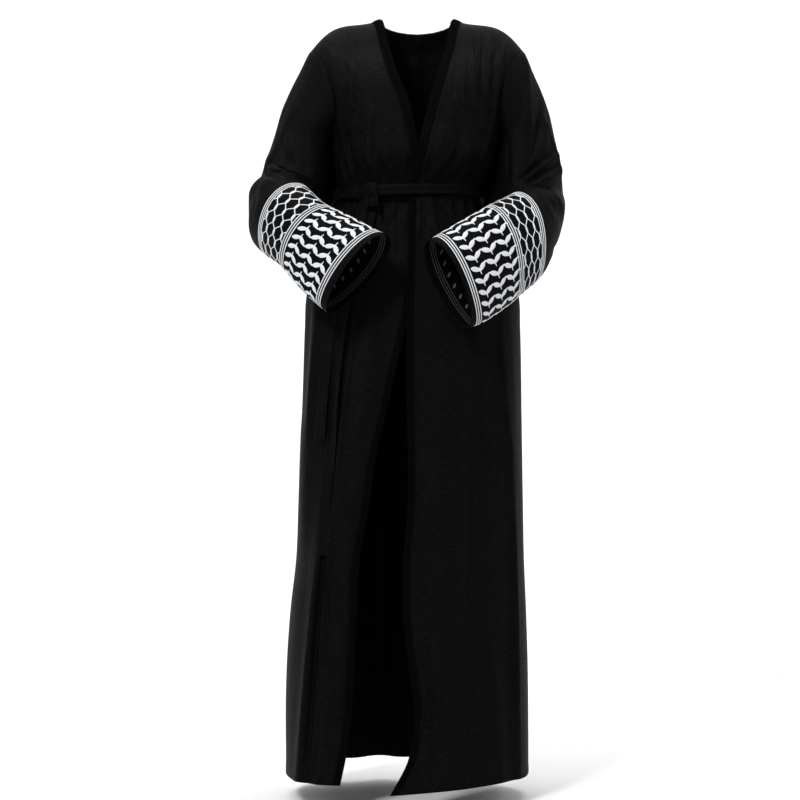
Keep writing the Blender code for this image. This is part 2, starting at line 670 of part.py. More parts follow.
def make_trims(pile, collection):
    """The brush trim along each front edge, on the panel's outer face."""
    heights = (-TRIM_START,) + LEVELS
    for side, name in ((-1, "brush_trim_right"), (1, "brush_trim_left")):
        full = front_points(side, heights, FRONT_CELLS)
        facing = outward(full, (0, -1, 0))[:, -2:]
        grid = full[:, -2:] + facing * (LIE_GAP + TRIM_WALL)
        wall(name, grid, TRIM_WALL, (0, -1, 0), pile, collection)


def make_sleeves(cloth, collection):
    """Two wide set-in sleeves, one piece each, open at the armhole and the cuff."""
    shares = np.linspace(0, 1, SLEEVE_CELLS_LONG + 1)
    turns = np.linspace(0, 2 * pi, SLEEVE_CELLS_ROUND + 1)
    for side, name in ((-1, "sleeve_right"), (1, "sleeve_left")):
        grid = sleeve_points(side, shares, turns)
        ring, turn = SLEEVE_CELLS_LONG // 2, SLEEVE_CELLS_ROUND // 2
        toward = grid[ring, turn] - grid[ring].mean(axis=0)
        wall(name, grid, WALL, toward, cloth, collection, closed=True)


def make_neck_trim(pile, collection):
    """The brush trim round the back of the neck, between the two front trims."""
    heights = np.array((-RIDGE_GAP,) + LEVELS)
    grid = back_points(heights, BACK_CELLS)
    facing = outward(grid, (0, 1, 0))
    corner = back_top(BACK_CELLS // 2)[2]
    columns = np.linspace(corner, BACK_CELLS - corner, NECK_TRIM_CELLS + 1)
    step = np.linalg.norm(grid[0, corner + 1] - grid[0, corner])
    strip = []
    for share, column in zip(np.linspace(0, 1, NECK_TRIM_CELLS + 1), columns):
        aside = NECK_TRIM_WIDE / step * np.cos(pi * share) * abs(np.cos(pi * share))
        down = -RIDGE_GAP - NECK_TRIM_WIDE * np.sin(pi * share)
        row_at = np.interp(-down, -heights, np.arange(len(heights)))
        strip.append(over(grid, facing, 0.0, column, NECK_TRIM_OFF + TRIM_WALL))
        strip.append(over(grid, facing, row_at, column - aside, NECK_TRIM_OFF + TRIM_WALL))
    strip = np.array(strip).reshape(NECK_TRIM_CELLS + 1, 2, 3)
    wall("brush_trim_neck", strip, TRIM_WALL, (0, 0.6, 1), pile, collection)


def hang_tail(name, path, off, cloth, collection):
    """A hanging end of the belt, lying on the right front panel."""
    heights = np.array((-RIDGE_GAP,) + LEVELS)
    panel = front_points(-1, heights, FRONT_CELLS)
    facing = outward(panel, (0, -1, 0))
    strip = []
    for height in np.linspace(max(path.keys), min(path.keys), TAIL_CELLS + 1):
        row_at = np.interp(-height, -heights, np.arange(len(heights)))
        above, share = int(row_at), row_at % 1
        line = (1 - share) * panel[above, :, 0] + share * panel[above + 1, :, 0]
        stand = off + BELT_WALL + TAIL_START_OFF * np.exp((height - max(path.keys)) / TAIL_START_FALL)
        middle = path("x", height)
        for side in (-0.5, 0.0, 0.5):
            column = np.interp(middle + side * BELT_WIDE, line, np.arange(len(line)))
            strip.append(over(panel, facing, row_at, column, stand))
    strip = np.array(strip).reshape(TAIL_CELLS + 1, 3, 3)
    wall(name, strip, BELT_WALL, (0, -1, 0), cloth, collection)


def make_belt(cloth, collection):
    """The tie belt: a flat band round the waist, the fold of its tie and two hanging ends."""
    turns = np.linspace(0, 2 * pi, BELT_SEGMENTS + 1)
    ring = belt_ring(turns, BELT_WALL)
    half = np.array((0, 0, BELT_WIDE / 2))
    grid = np.stack((ring - half, ring + half))
    toward = ring[BELT_SEGMENTS // 2] - ring.mean(axis=0)
    wall("belt_band", grid, BELT_WALL, toward, cloth, collection, closed=True)

    front = belt_ring(np.linspace(pi, 2 * pi, BELT_SAMPLES), 0.0)
    rows = []
    for out, up in TIE_PROFILE:
        spread = 1 + TIE_FLARE * ease(-up / TIE_FLARE_LONG)
        for share in (-0.5, -0.17, 0.17, 0.5):
            x = TIE_X + share * TIE_WIDE * spread
            y = np.interp(x, front[:, 0], front[:, 1])
            z = np.interp(x, front[:, 0], front[:, 2])
            rows.append((x, y - out, z + up))
    grid = np.array(rows).reshape(len(TIE_PROFILE), 4, 3)
    wall("belt_tie", grid, TIE_WALL, (0, -1, 0), cloth, collection)

    hang_tail("belt_tail_long", TAIL_LONG, TAIL_OFF, cloth, collection)
    hang_tail("belt_tail_short", TAIL_SHORT, TAIL_OFF + BELT_WALL + TAIL_LIE_GAP, cloth, collection)


def main():
    for item in list(bpy.data.objects):
        bpy.data.objects.remove(item, do_unlink=True)
    collection = bpy.data.collections.new("open_front_abaya")
    bpy.context.scene.collection.children.link(collection)
    cloth = cloth_material("black_crepe", (0.012, 0.012, 0.013), 0.82)
    pile = cloth_material("black_brush_trim", (0.005, 0.005, 0.006), 0.95)
    make_panels(cloth, collection)
    make_trims(pile, collection)
    make_neck_trim(pile, collection)
    make_sleeves(cloth, collection)
    make_belt(cloth, collection)


main()
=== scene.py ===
from math import cos, hypot, pi, sin

import bmesh
import bpy
import numpy as np
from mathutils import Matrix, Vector


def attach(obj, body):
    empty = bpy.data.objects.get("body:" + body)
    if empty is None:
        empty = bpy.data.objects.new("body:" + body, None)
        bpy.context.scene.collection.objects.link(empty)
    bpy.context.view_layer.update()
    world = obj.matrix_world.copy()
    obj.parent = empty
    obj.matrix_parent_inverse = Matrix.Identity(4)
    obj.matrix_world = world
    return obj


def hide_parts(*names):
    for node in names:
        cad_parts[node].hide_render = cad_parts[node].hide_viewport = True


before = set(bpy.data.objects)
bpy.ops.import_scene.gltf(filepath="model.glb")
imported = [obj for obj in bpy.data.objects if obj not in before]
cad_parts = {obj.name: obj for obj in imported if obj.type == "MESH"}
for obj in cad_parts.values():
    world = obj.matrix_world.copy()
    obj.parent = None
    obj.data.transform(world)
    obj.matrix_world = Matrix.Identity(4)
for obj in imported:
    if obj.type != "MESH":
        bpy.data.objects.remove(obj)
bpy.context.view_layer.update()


# THE CREPE
# Every cut piece is a thin black crepe whose hard-twisted weft gives it a fine crosswise
# crinkle. It reflects very little, so only its ridges and bent edges show a soft grey.
# The second, lighter grey is a painted highlight on the crinkle's ridges, and random tone in
# larger blotches
CREPE_BLACK, CREPE_TONE_AND_HIGHLIGHT = (0.0009, 0.0009, 0.0010, 1), (0.0036, 0.0036, 0.0038, 1)
CREPE_ROUGHNESS, CREPE_BUMP, CREPE_SHEEN = 0.58, 0.0012, 0.004
SLUB_LONG, SLUB_DEEP, SLUB_ROUGH = 0.013, 0.0017, 0.55
GRAIN_SIZE, GRAIN_ROUGH, GRAIN_SHARE = 0.00045, 0.7, 0.22
# The mask of the painted highlight on the crinkle's ridges is the slubs' noise, stretched,
# with larger blotches of random tone added
RIDGE_GAIN, RIDGE_DROP, BLOTCH_SCALE, BLOTCH_SPAN = 3.6, -1.45, 9.0, 0.6
RIDGE_POLISH, CREPE_RELIEF, CREPE_SPECULAR = 0.10, 0.8, 0.035
SHEEN_ROUGHNESS, SHEEN_TINT = 0.45, (0.75, 0.77, 0.82, 1)


def add_node(tree, kind, links=(), **settings):
    """A node with its settings, and its inputs set or linked by name or number."""
    node = tree.nodes.new("ShaderNode" + kind)
    for key, value in settings.items():
        setattr(node, key, value)
    for socket, value in links:
        if isinstance(value, bpy.types.NodeSocket):
            tree.links.new(value, node.inputs[socket])
        else:
            node.inputs[socket].default_value = value
    return node


def maths(tree, operation, a, b=0.0, c=0.0):
    return add_node(tree, "Math", ((0, a), (1, b), (2, c)), operation=operation).outputs[0]


def noise(tree, place, scale, detail=2.0, roughness=0.5):
    links = (("Vector", place), ("Scale", scale), ("Detail", detail), ("Roughness", roughness))
    return add_node(tree, "TexNoise", links).outputs[0]


def crinkle(tree, place, deep):
    """Crosswise crinkle and grain on a map in metres: a height, and a ridge mask for a painted
    highlight.
    """
    fine = (1 / SLUB_LONG, 1 / deep, 1 / deep)
    stretched = add_node(tree, "VectorMath", ((0, place), (1, fine)), operation="MULTIPLY")
    slub = noise(tree, stretched.outputs[0], 1.0, roughness=SLUB_ROUGH)
    grain = noise(tree, place, 1 / GRAIN_SIZE, roughness=GRAIN_ROUGH)
    height = maths(tree, "MULTIPLY_ADD", grain, GRAIN_SHARE, slub)
    return height, maths(tree, "MULTIPLY_ADD", slub, RIDGE_GAIN, RIDGE_DROP)


def new_material(name):
    """A material with its tree, and the piece's map in metres."""
    material = bpy.data.materials.new(name)
    material.use_nodes = True
    tree = material.node_tree
    return material, tree, add_node(tree, "UVMap", uv_map="cloth").outputs[0]


def coat(tree, mask, colours, rough, relief, **settings):
    """Sets a shader: two colours mixed by a mask, its roughness, and its relief as a height,
    a strength and a depth."""
    shader = tree.nodes["Principled BSDF"]
    links = (("Factor", mask), ("A", colours[0]), ("B", colours[1]))
    colour = add_node(tree, "Mix", links, data_type="RGBA", clamp_factor=True)
    bump = add_node(tree, "Bump", zip(("Height", "Strength", "Distance"), relief))
    tree.links.new(colour.outputs["Result"], shader.inputs["Base Color"])
    tree.links.new(rough, shader.inputs["Roughness"])
    tree.links.new(bump.outputs[0], shader.inputs["Normal"])
    for key, value in settings.items():
        shader.inputs[key.replace("_", " ")].default_value = value


def cloth_material(name, black, tone_and_highlight, roughness, bump, deep, sheen):
    """A black cloth with crinkle, a painted highlight on its ridges and random blotches of tone.
    """
    material, tree, place = new_material(name)
    height, ridge_highlight = crinkle(tree, place, deep)
    blotch = noise(tree, place, BLOTCH_SCALE)
    blotch = maths(tree, "MULTIPLY_ADD", blotch, BLOTCH_SPAN, -BLOTCH_SPAN / 2)
    # painted highlight: the crinkle's ridges take the lighter colour, and random blotches of tone
    # do too
    coat(
        tree,
        maths(tree, "ADD", ridge_highlight, blotch),
        (black, tone_and_highlight),
        maths(tree, "MULTIPLY_ADD", ridge_highlight, -RIDGE_POLISH, roughness + RIDGE_POLISH / 2),
        (height, CREPE_RELIEF, bump),
        Specular_IOR_Level=CREPE_SPECULAR,
        Sheen_Weight=sheen,
        Sheen_Roughness=SHEEN_ROUGHNESS,
        Sheen_Tint=SHEEN_TINT,
    )
    return material


crepe = cloth_material(
    "black_crepe", CREPE_BLACK, CREPE_TONE_AND_HIGHLIGHT, CREPE_ROUGHNESS, CREPE_BUMP, SLUB_DEEP, CREPE_SHEEN
)


# BACK PANEL
# One wide piece of crepe from the shoulder seams to the hem, gathered at the waist by the
# belt and falling in loose folds. Its side seams and armholes are sewn to the other pieces.
CREPE_THICK = 0.0009
BACK_FINE_ROWS, BACK_FINE_COLUMNS = 270, 122
HEM_TURN, HEM_STEP, HEM_SOFT = 0.016, 0.0005, 0.003
SEAM_SINK, SHOULDER_RISE = 0.0006, 0.0008
# The solids' wall, and how closely their points, edges and faces have to match
CAD_WALL, POINT_NEAR, EDGE_NEAR, SAME_WAY = 0.002, 2e-5, 0.00004, 0.8
# How a crease tapers and ends, and how far creases keep from side and upper seams
CREASE_TAPER, CREASE_END, SIDE_CLEAR, SIDE_FADE, SEAM_FADE = 0.6, 0.6, 0.003, 0.007, 0.02


def cad_grid(node, wall, out, start, end, closed=False):
    """The outer face of a CAD wall as rows of points. Its first row runs from the corner near
    start to the one near end, and the face looks toward out.

    The faces of the wall's rim have an edge as long as the wall is thick, so they are left
    out. A closed wall's rows set out from start toward end, and repeat their first point."""
    bm = bmesh.new()
    bm.from_mesh(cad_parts[node].data)
    bmesh.ops.remove_doubles(bm, verts=bm.verts, dist=POINT_NEAR)
    bm.normal_update()
    out = Vector(out)
    faces = [
        face
        for face in bm.faces
        if all(abs(edge.calc_length() - wall) > EDGE_NEAR for edge in face.edges)
    ]
    facing = [face for face in faces if face.normal.dot(out) > SAME_WAY]
    seed = max(facing, key=lambda face: face.calc_center_median().dot(out))
    faces = set(faces)
    sheet, waiting = {seed}, [seed]
    while waiting:
        for edge in waiting.pop().edges:
            for other in edge.link_faces:
                if other in faces and other not in sheet:
                    sheet.add(other)
                    waiting.append(other)
    near, rim = {}, {}
    for face in sheet:
        for edge in face.edges:
            a, b = edge.verts
            near.setdefault(a, set()).add(b)
            near.setdefault(b, set()).add(a)
            if sum(other in sheet for other in edge.link_faces) == 1:
                rim.setdefault(a, set()).add(b)
                rim.setdefault(b, set()).add(a)

    def walk(start, second, among):
        path = [start, second]
        while True:
            ahead = [vert for vert in among[path[-1]] if vert not in path[1:] + path[-2:]]
            if not ahead or ahead[0] is start:
                return path
            path.append(ahead[0])

    first = min(rim, key=lambda vert: (vert.co - Vector(start)).length)
    ways = [walk(first, second, rim) for second in rim[first]]
    if closed:
        rows = [min(ways, key=lambda way: (way[1].co - Vector(end)).length)]
    else:
        last = min(rim, key=lambda vert: (vert.co - Vector(end)).length)
        rows = [min((way[: way.index(last) + 1] for way in ways), key=len)]
    seen = set(rows[0])
    while True:
        row = {vert for above in rows[-1] for vert in near[above]} - seen
        if not row:
            break
        seen |= row
        beside = {vert: near[vert] & row for vert in row}
        if closed:
            start = min(row, key=lambda vert: (vert.co - rows[-1][0].co).length)
        else:
            start = (rim[rows[-1][0]] & row).pop()
        rows.append(walk(start, min(beside[start], key=lambda vert: vert.index), beside))
    grid = [np.array([vert.co[:] for vert in row]) for row in rows]
    bm.free()
    if closed:
        for k in range(1, len(grid)):
            ways = (grid[k], grid[k][::-1])
            turned = [np.roll(way, -shift, 0) for way in ways for shift in range(len(way))]
            grid[k] = min(turned, key=lambda way: np.sum((way - grid[k - 1]) ** 2))
        grid = [np.vstack((ring, ring[:1])) for ring in grid]
    return np.array(grid)


def smooth_through(points, places, closed=False):
    """Points on a smooth curve through points, at places given as shares of its length."""
    if closed:
        points = np.concatenate((points[-4:-1], points, points[1:4]))
    step = np.linalg.norm(np.diff(points.reshape(len(points), -1, 3), axis=0), axis=2).mean(axis=1)
    keys = np.concatenate(([0], np.cumsum(step)))
    if closed:
        keys -= keys[3]
        places = places * keys[-4]
    else:
        places = places * keys[-1]
    shape = (-1,) + (1,) * (points.ndim - 1)
    wide = step.reshape(shape)
    slope = np.diff(points, axis=0) / wide
    inner = (slope[:-1] * wide[1:] + slope[1:] * wide[:-1]) / (wide[1:] + wide[:-1])
    tangent = np.concatenate((slope[:1], inner, slope[-1:]))
    cell = np.clip(np.searchsorted(keys, places, side="right") - 1, 0, len(step) - 1)
    t = ((places - keys[cell]) / step[cell]).reshape(shape)
    size = wide[cell]
    return (
        (1 + 2 * t) * (1 - t) ** 2 * points[cell]
        + t * (1 - t) ** 2 * size * tangent[cell]
        + t**2 * (3 - 2 * t) * points[cell + 1]
        - t**2 * (1 - t) * size * tangent[cell + 1]
    )


def refine(grid, rows, columns, closed=False):
    """A finer grid on the smooth surface through a coarse one."""
    wide = smooth_through(grid.swapaxes(0, 1), np.linspace(0, 1, columns), closed).swapaxes(0, 1)
    return smooth_through(wide, np.linspace(0, 1, rows))


def unit(ways):
    return ways / np.linalg.norm(ways, axis=-1, keepdims=True)


def facing_of(grid, toward, closed=False):
    """Unit normals of a grid, on the side that toward points to at its middle."""
    if closed:
        grid = np.concatenate((grid[:, -2:-1], grid, grid[:, 1:2]), axis=1)
    normal = np.cross(np.gradient(grid, axis=1), np.gradient(grid, axis=0))
    normal /= np.maximum(np.linalg.norm(normal, axis=2, keepdims=True), 1e-12)
    middle = normal[normal.shape[0] // 2, normal.shape[1] // 2]
    normal = normal if np.dot(middle, toward) > 0 else -normal
    return normal[:, 1:-1] if closed else normal


def ease(t):
    t = np.clip(t, 0, 1)
    return t * t * (3 - 2 * t)


def bell(t):
    return np.exp(-(t**2))


def run_of(grid, axis):
    """Distance in metres from the first point, down the columns or along the rows."""
    step = np.linalg.norm(np.diff(grid, axis=axis), axis=2)
    start = np.zeros_like(step[:1] if axis == 0 else step[:, :1])
    return np.concatenate((start, np.cumsum(step, axis=axis)), axis=axis)


def creased(place_1, place_2, creases):
    """How far creases lift a cloth. Each runs between two places on its map,
    bends sideways in the middle, and has its own rise and width at its start and end."""
    total = np.zeros_like(place_1)
    for a_1, a_2, b_1, b_2, bend, rise, wide, widen in np.array(creases) / 1000:
        way = np.array((b_1 - a_1, b_2 - a_2))
        length = hypot(*way)
        way /= length
        along = ((place_1 - a_1) * way[0] + (place_2 - a_2) * way[1]) / length
        side = (place_1 - a_1) * -way[1] + (place_2 - a_2) * way[0]
        run = np.clip(along, 0, 1)
        side = side - 4 * bend * run * (1 - run)
        beyond = (along - run) * length
        width = wide + widen * run
        strength = np.sin(pi * run) ** CREASE_TAPER
        total += rise * strength * bell(np.hypot(side / width, beyond / (CREASE_END * wide)))
    return total


def patch(bm, chart, points, maps):
    """Adds one smooth patch to a mesh: rows of points, and their places on the cloth map."""
    rows, columns = points.shape[:2]
    made = bmesh.ops.create_grid(bm, x_segments=columns - 1, y_segments=rows - 1, size=1)
    number = {vert: index for index, vert in enumerate(made["verts"])}
    for face in {face for vert in number for face in vert.link_faces}:
        for loop in face.loops:
            index = number[loop.vert]
            loop[chart].uv = maps[index // columns, index % columns]
    for vert, index in number.items():
        vert.co = points[index // columns, index % columns]


def placed(name, data):
    """An object in the scene."""
    made = bpy.data.objects.new(name, data)
    bpy.context.scene.collection.objects.link(made)
    return made


def mesh_piece(name, bm, material, toward=None):
    """Closes a mesh's seams and poles and makes a piece of it. toward is a face's number and
    the way that this face has to look."""
    bmesh.ops.remove_doubles(bm, verts=bm.verts, dist=1e-6)
    bmesh.ops.dissolve_degenerate(bm, edges=bm.edges, dist=1e-7)
    bm.normal_update()
    bm.faces.ensure_lookup_table()
    if toward is not None and bm.faces[toward[0]].normal.dot(Vector(toward[1])) < 0:
        bmesh.ops.reverse_faces(bm, faces=bm.faces)
    mesh = bpy.data.meshes.new(name)
    bm.to_mesh(mesh)
    bm.free()
    mesh.shade_smooth()
    mesh.materials.append(material)
    piece = placed(name, mesh)
    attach(piece, "root")
    return piece


def cloth_piece(name, grid, face, thick, material):
    """A thin cloth shell whose outer face is the grid, with a map in metres."""
    rows, columns = grid.shape[:2]
    across = run_of(grid, 1)
    across -= across[:, columns // 2 : columns // 2 + 1]
    bm = bmesh.new()
    patch(bm, bm.loops.layers.uv.new("cloth"), grid, np.stack((across, run_of(grid, 0)), axis=2))
    bm.faces.ensure_lookup_table()
    middle = (rows // 2) * (columns - 1) + columns // 2
    piece = mesh_piece(name, bm, material, (middle, face[rows // 2, columns // 2]))
    wall = piece.modifiers.new("Wall", "SOLIDIFY")
    wall.thickness = thick
    wall.offset = -1
    wall.use_rim = True
    return piece


# Two lower corners of each panel, for its first row of points
PANEL_CORNERS = {
    "back_panel": ((-0.24, 0, -1.414), (0.22, 0, -1.414)),
    "front_panel_left": ((-0.041, -0.2, -1.43), (0.217, 0, -1.414)),
    "front_panel_right": ((-0.13, -0.18, -1.416), (-0.24, 0, -1.414)),
}
back_cad = cad_grid("back_panel", CAD_WALL, (0, 1, 0), *PANEL_CORNERS["back_panel"])
front_cad = {
    side: cad_grid(name, CAD_WALL, (0, -1, 0), *PANEL_CORNERS[name])
    for side, name in ((1, "front_panel_left"), (-1, "front_panel_right"))
}
# Between the neck and the armholes the cloth lies over the round of the shoulders
ROUND_MIDDLE, ROUND_FROM, ROUND_TO, ROUND_RISE, ROUND_OUT = 0.0095, 0.072, 0.202, 0.0215, 1.6
ROUND_ROWS = (0.005, 0.176, 0.475, 0.741, 0.911, 0.976, 1)
for grid in (back_cad, front_cad[1], front_cad[-1]):
    top = grid[-len(ROUND_ROWS) :]
    outward = abs(top[:, :, 0] - ROUND_MIDDLE)
    share = np.clip((outward - ROUND_FROM) / (ROUND_TO - ROUND_FROM), 0, 1)
    top[:, :, 2] += ROUND_RISE * np.sin(pi * share**ROUND_OUT) * np.array(ROUND_ROWS)[:, None]
# Each front's side seam and shoulder seam, met half way by the back's. The side seam ends at
# the underarm, and its shift fades over the two rows above.
UNDERARM_ROW, UNDERARM_BLEND = 27, np.array(((0.66,), (0.33,)))
BACK_SIDE = {1: -1, -1: 0}
BACK_SHOULDER = {1: slice(22, None), -1: slice(8, None, -1)}
for side, back_column in BACK_SIDE.items():
    front = front_cad[side]
    seam = (front[:UNDERARM_ROW, -1] + back_cad[:UNDERARM_ROW, back_column]) / 2
    seam[:, 0] -= side * SEAM_SINK
    for edge in (front[:, -1], back_cad[:, back_column]):
        shift = seam[-1] - edge[UNDERARM_ROW - 1]
        edge[UNDERARM_ROW : UNDERARM_ROW + 2] += UNDERARM_BLEND * shift
        edge[:UNDERARM_ROW] = seam
    top, shoulder = front[-1], back_cad[-1, BACK_SHOULDER[side]]
    for axis, rise in ((1, 0), (2, SHOULDER_RISE)):
        across = np.interp(side * top[:, 0], side * shoulder[:, 0], shoulder[:, axis])
        top[:, axis] = (top[:, axis] + across) / 2 + rise
        shoulder[:, axis] = np.interp(side * shoulder[:, 0], side * top[:, 0], top[:, axis])
# Each crease has its start across and up, its end across and up, its bend, its rise (or its
# depth, below 0), its width and how much wider it ends, all in millimetres
BACK_CREASES = (
    (-150, -60, -110, -210, 10, 3.7, 8, 4), (-128, -120, -88, -290, 6, -3.4, 7, 3),
    (155, -70, 122, -230, -8, 4.1, 9, 3), (128, -140, 90, -300, -6, -3.1, 7, 4),
    (-60, -30, 60, -34, -12, 2.7, 10, 4), (-95, -250, -20, -272, 8, 2.9, 6, 3),
    (30, -262, 105, -245, 8, 2.7, 6, 3), (-30, -330, -34, -500, 4, 3.4, 6, 6),
    (46, -330, 52, -470, -4, 3.7, 6, 6), (-110, -335, -124, -560, 4, -3.1, 6, 8),
    (88, -335, 100, -520, 5, -3.1, 6, 8), (-80, -700, -90, -1050, 10, 3.7, 12, 6),
    (52, -640, 60, -1120, -9, 4.1, 12, 8), (145, -800, 152, -1300, 7, 3.7, 11, 6),
    (-140, -880, -160, -1380, -6, 3.4, 12, 4), (0, -1000, 6, -1390, 8, -3.7, 13, 6),
    (-20, -860, 70, -910, 6, 2.4, 10, 4), (-150, -1120, -60, -1170, -6, 2.2, 11, 3),
)


# Where a panel is evened out beside the underarm: from the seam inward, and up and down
EVEN_PASSES, EVEN_FADE_IN, EVEN_TO, EVEN_FADE_OUT, EVEN_ROWS = 40, 0.014, 0.100, 0.050, 9


def relaxed(grid, side_seams):
    """Evens out a panel's cloth beside the underarm, where its side turns the corner."""
    even, row = grid.copy(), np.arange(len(grid))[:, None]
    for _ in range(EVEN_PASSES):
        even[1:-1] = (even[:-2] + 2 * even[1:-1] + even[2:]) / 4
    across, share = run_of(grid, 1), 0
    for column in side_seams:
        corner = np.argmin(abs(grid[:, column, 2] - back_cad[UNDERARM_ROW - 1, 0, 2]))
        inside = abs(across - across[:, column][:, None])
        near = ease(inside / EVEN_FADE_IN) * ease((EVEN_TO - inside) / EVEN_FADE_OUT)
        share = share + bell((row - corner) / EVEN_ROWS) * near
    return grid + (even - grid) * share[:, :, None]


def below_seam(up):
    """A share that fades out toward a piece's upper seam."""
    return ease((up[-1:] - up) / SEAM_FADE)


def hem_step(up, wide, high, soft):
    """The rise of a turned hem, with the soft step at its stitched edge."""
    return high * ease((wide - up) / soft + 0.5)


def dressed(grid, face, creases):
    """A panel's grid with its hem, and its creases, which fade out toward its two sides."""
    up, side = run_of(grid, 0), run_of(grid, 1)
    inside = np.minimum(side, side[:, -1:] - side)
    rise = creased(grid[:, :, 0], grid[:, :, 2], creases)
    rise *= ease((inside - SIDE_CLEAR) / SIDE_FADE) * below_seam(up)
    rise += hem_step(up, HEM_TURN, HEM_STEP, HEM_SOFT)
    return grid + face * rise[:, :, None]


back_grid = relaxed(refine(back_cad, BACK_FINE_ROWS, BACK_FINE_COLUMNS), (0, -1))
back_face = facing_of(back_grid, (0, 1, 0))
back_grid = dressed(back_grid, back_face, BACK_CREASES)
back_panel = cloth_piece("back_panel_cloth", back_grid, back_face, CREPE_THICK, crepe)
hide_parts("back_panel")
under = ["front_panel_left_cloth"]


# FRONT PANELS
# Two crepe fronts, sewn to the back at the shoulders and sides and open down the middle. The
# left one lies over the right one at the waist, and pleats fall from under the belt.
FRONT_FINE_ROWS, FRONT_FINE_COLUMNS = 225, 132
FRONT_CREASES = {
    1: (
        (178, -30, 144, -250, -4, 6, 3, 0.4), (149, -185, 110, -330, 3, 5.6, 3, 0.4),
        (157, -200, 126, -300, 3, -5, 3.6, 0.6), (150, -253, 129, -301, 0, 2.8, 2.8, 0),
        (128, -250, 114, -320, 1, -5, 4.2, 1), (98, -30, 96, -180, 0, 2.6, 3.6, 0.6),
        (120, -10, 118, -190, 0, 4.4, 2.6, 0.6), (133, -35, 128, -165, 0, -3.4, 3.4, 0.6),
        (145, -40, 137, -175, 0, 3.6, 3.2, 0.6), (155, -50, 147, -190, 0, -3, 3.6, 0.6),
        (86, -40, 76, -150, 0, -2.2, 3.6, 0.6), (57, -138, 16, -305, 2, 2, 3.6, 0),
        (38, -216, 29, -312, 0, -2.6, 3.4, 0), (101, -231, 90, -312, 1, 1.6, 4, 0),
        (81, -249, 79, -312, 0, -1.2, 4.5, 0), (12, -334, 14, -409, 0, 2.4, 3, 1),
        (24, -334, 27, -409, 0, -1.6, 3, 1), (33, -333, 49, -416, 0, 3.4, 3.4, 1),
        (66, -334, 74, -416, 0, -1.6, 5, 1), (90, -334, 105, -416, 0, 3, 4, 1),
        (103, -342, 125, -434, 0, -2.6, 4.4, 2), (163, -546, 189, -842, -3, 3, 7, 1),
        (184, -770, 199, -1450, 2, 4.6, 6, 0), (177, -920, 184, -1450, 2, -3, 7, 1),
        (109, -842, 100, -1130, 6, -3.4, 7, 1), (122, -861, 116, -1083, 5, 1.8, 6, 1),
        (51, -750, 44, -1083, 3, 1.2, 9, 2), (3, -1150, 24, -1269, 4, 3.4, 4, 0),
        (24, -1250, 12, -1339, -1, 3, 3.6, 0), (33, -1160, 40, -1450, 2, -3.4, 6, 2),
        (109, -1290, 88, -1440, 2, 2.4, 6, 2), (62, -1269, 48, -1389, 2, -1.8, 6, 2),
        (147, -1140, 166, -1450, 2, 2.2, 8, 2),
    ),
    -1: (
        (-145, -201, -119, -318, -1, -4.6, 4.6, 0), (-136, -190, -104, -323, -1, 4.2, 4, 0),
        (-121, -208, -103, -310, -1, -3.4, 3.8, 0), (-84, -190, -84, -308, 0, 2.4, 3, 0),
        (-73, -197, -73, -312, 0, -3.4, 2.8, 0), (-45, -231, -38, -312, 0, 1.4, 4, 0),
        (-112, -82, -115, -212, 0, 1.8, 5, 1), (-132, -82, -134, -194, 0, -1.8, 5, 1),
        (-52, -342, -49, -434, 0, 2.4, 4, 1), (-30, -342, -25, -453, 0, -2.2, 4, 1),
        (-103, -342, -115, -416, 0, -3.4, 4, 1), (-115, -338, -138, -409, 0, 3.4, 3.6, 1),
        (-127, -342, -156, -401, 0, -2.8, 3.6, 1), (-99, -520, -188, -1500, -10, 6.4, 3.8, 0),
        (-111, -520, -199, -1500, -10, -6.4, 5.2, 1), (-168, -960, -213, -1460, -3, 5.4, 6.6, 1),
        (-178, -546, -197, -805, -1, 3.6, 5, 1), (-191, -527, -206, -768, -1, -3.4, 4.8, 1),
        (-134, -601, -145, -842, 0, 1.6, 6, 1), (-112, -861, -125, -1120, 0, 1.4, 6, 1),
        (-127, -1083, -140, -1380, 1, 1.6, 7, 1),
    ),
}
FRONTS = (
    (1, "front_panel_left", (0.44, 1.47), 0.42),
    (-1, "front_panel_right", (0.40, 1.45), 0.36),
)
front_grid = {}
for side, name, flat, area in FRONTS:
    grid = relaxed(refine(front_cad[side], FRONT_FINE_ROWS, FRONT_FINE_COLUMNS), (-1,))
    face = facing_of(grid, (0, -1, 0))
    grid = dressed(grid, face, FRONT_CREASES[side])
    seam = back_grid[:, BACK_SIDE[side]]
    below = grid[:, -1, 2] < back_cad[UNDERARM_ROW - 1, -1, 2]
    for axis in (0, 1):
        grid[below, -1, axis] = np.interp(grid[below, -1, 2], seam[:, 2], seam[:, axis])
    front_grid[side] = grid
    front = cloth_piece(name + "_cloth", grid, face, CREPE_THICK, crepe)
    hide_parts(name)


# SLEEVES
# Each sleeve is one wide piece of crepe sewn into a tube and set into the armhole. Its
# turned cuff hem is double, and the arm's bend holds the creases at the crook and elbow.
SLEEVE_FINE_ROWS, SLEEVE_FINE_COLUMNS = 150, 121
CUFF_START = {1: (0.028, -0.229, -0.425), -1: (-0.044, -0.216, -0.416)}
CUFF_TOWARD = {1: (0.050, -0.260, -0.430), -1: (-0.070, -0.250, -0.410)}
CUFF_HEM, CUFF_STEP, CUFF_SOFT = 0.0125, 0.0006, 0.0016
SLEEVE_GIRTH, CROOK_ROW = 0.43, 8
# Creases round a sleeve: places up from the cuff and round from the crook, in millimetres
SLEEVE_CREASES = (
    (350, -130, 470, -90, 8, -3, 8, 3), (400, 140, 520, 110, 6, 3, 8, 3),
    (250, 160, 330, 200, -6, -2.6, 8, 2), (40, -60, 110, -50, 5, 1.2, 9, 3),
    (35, 90, 120, 80, -5, -1.2, 10, 3),
)
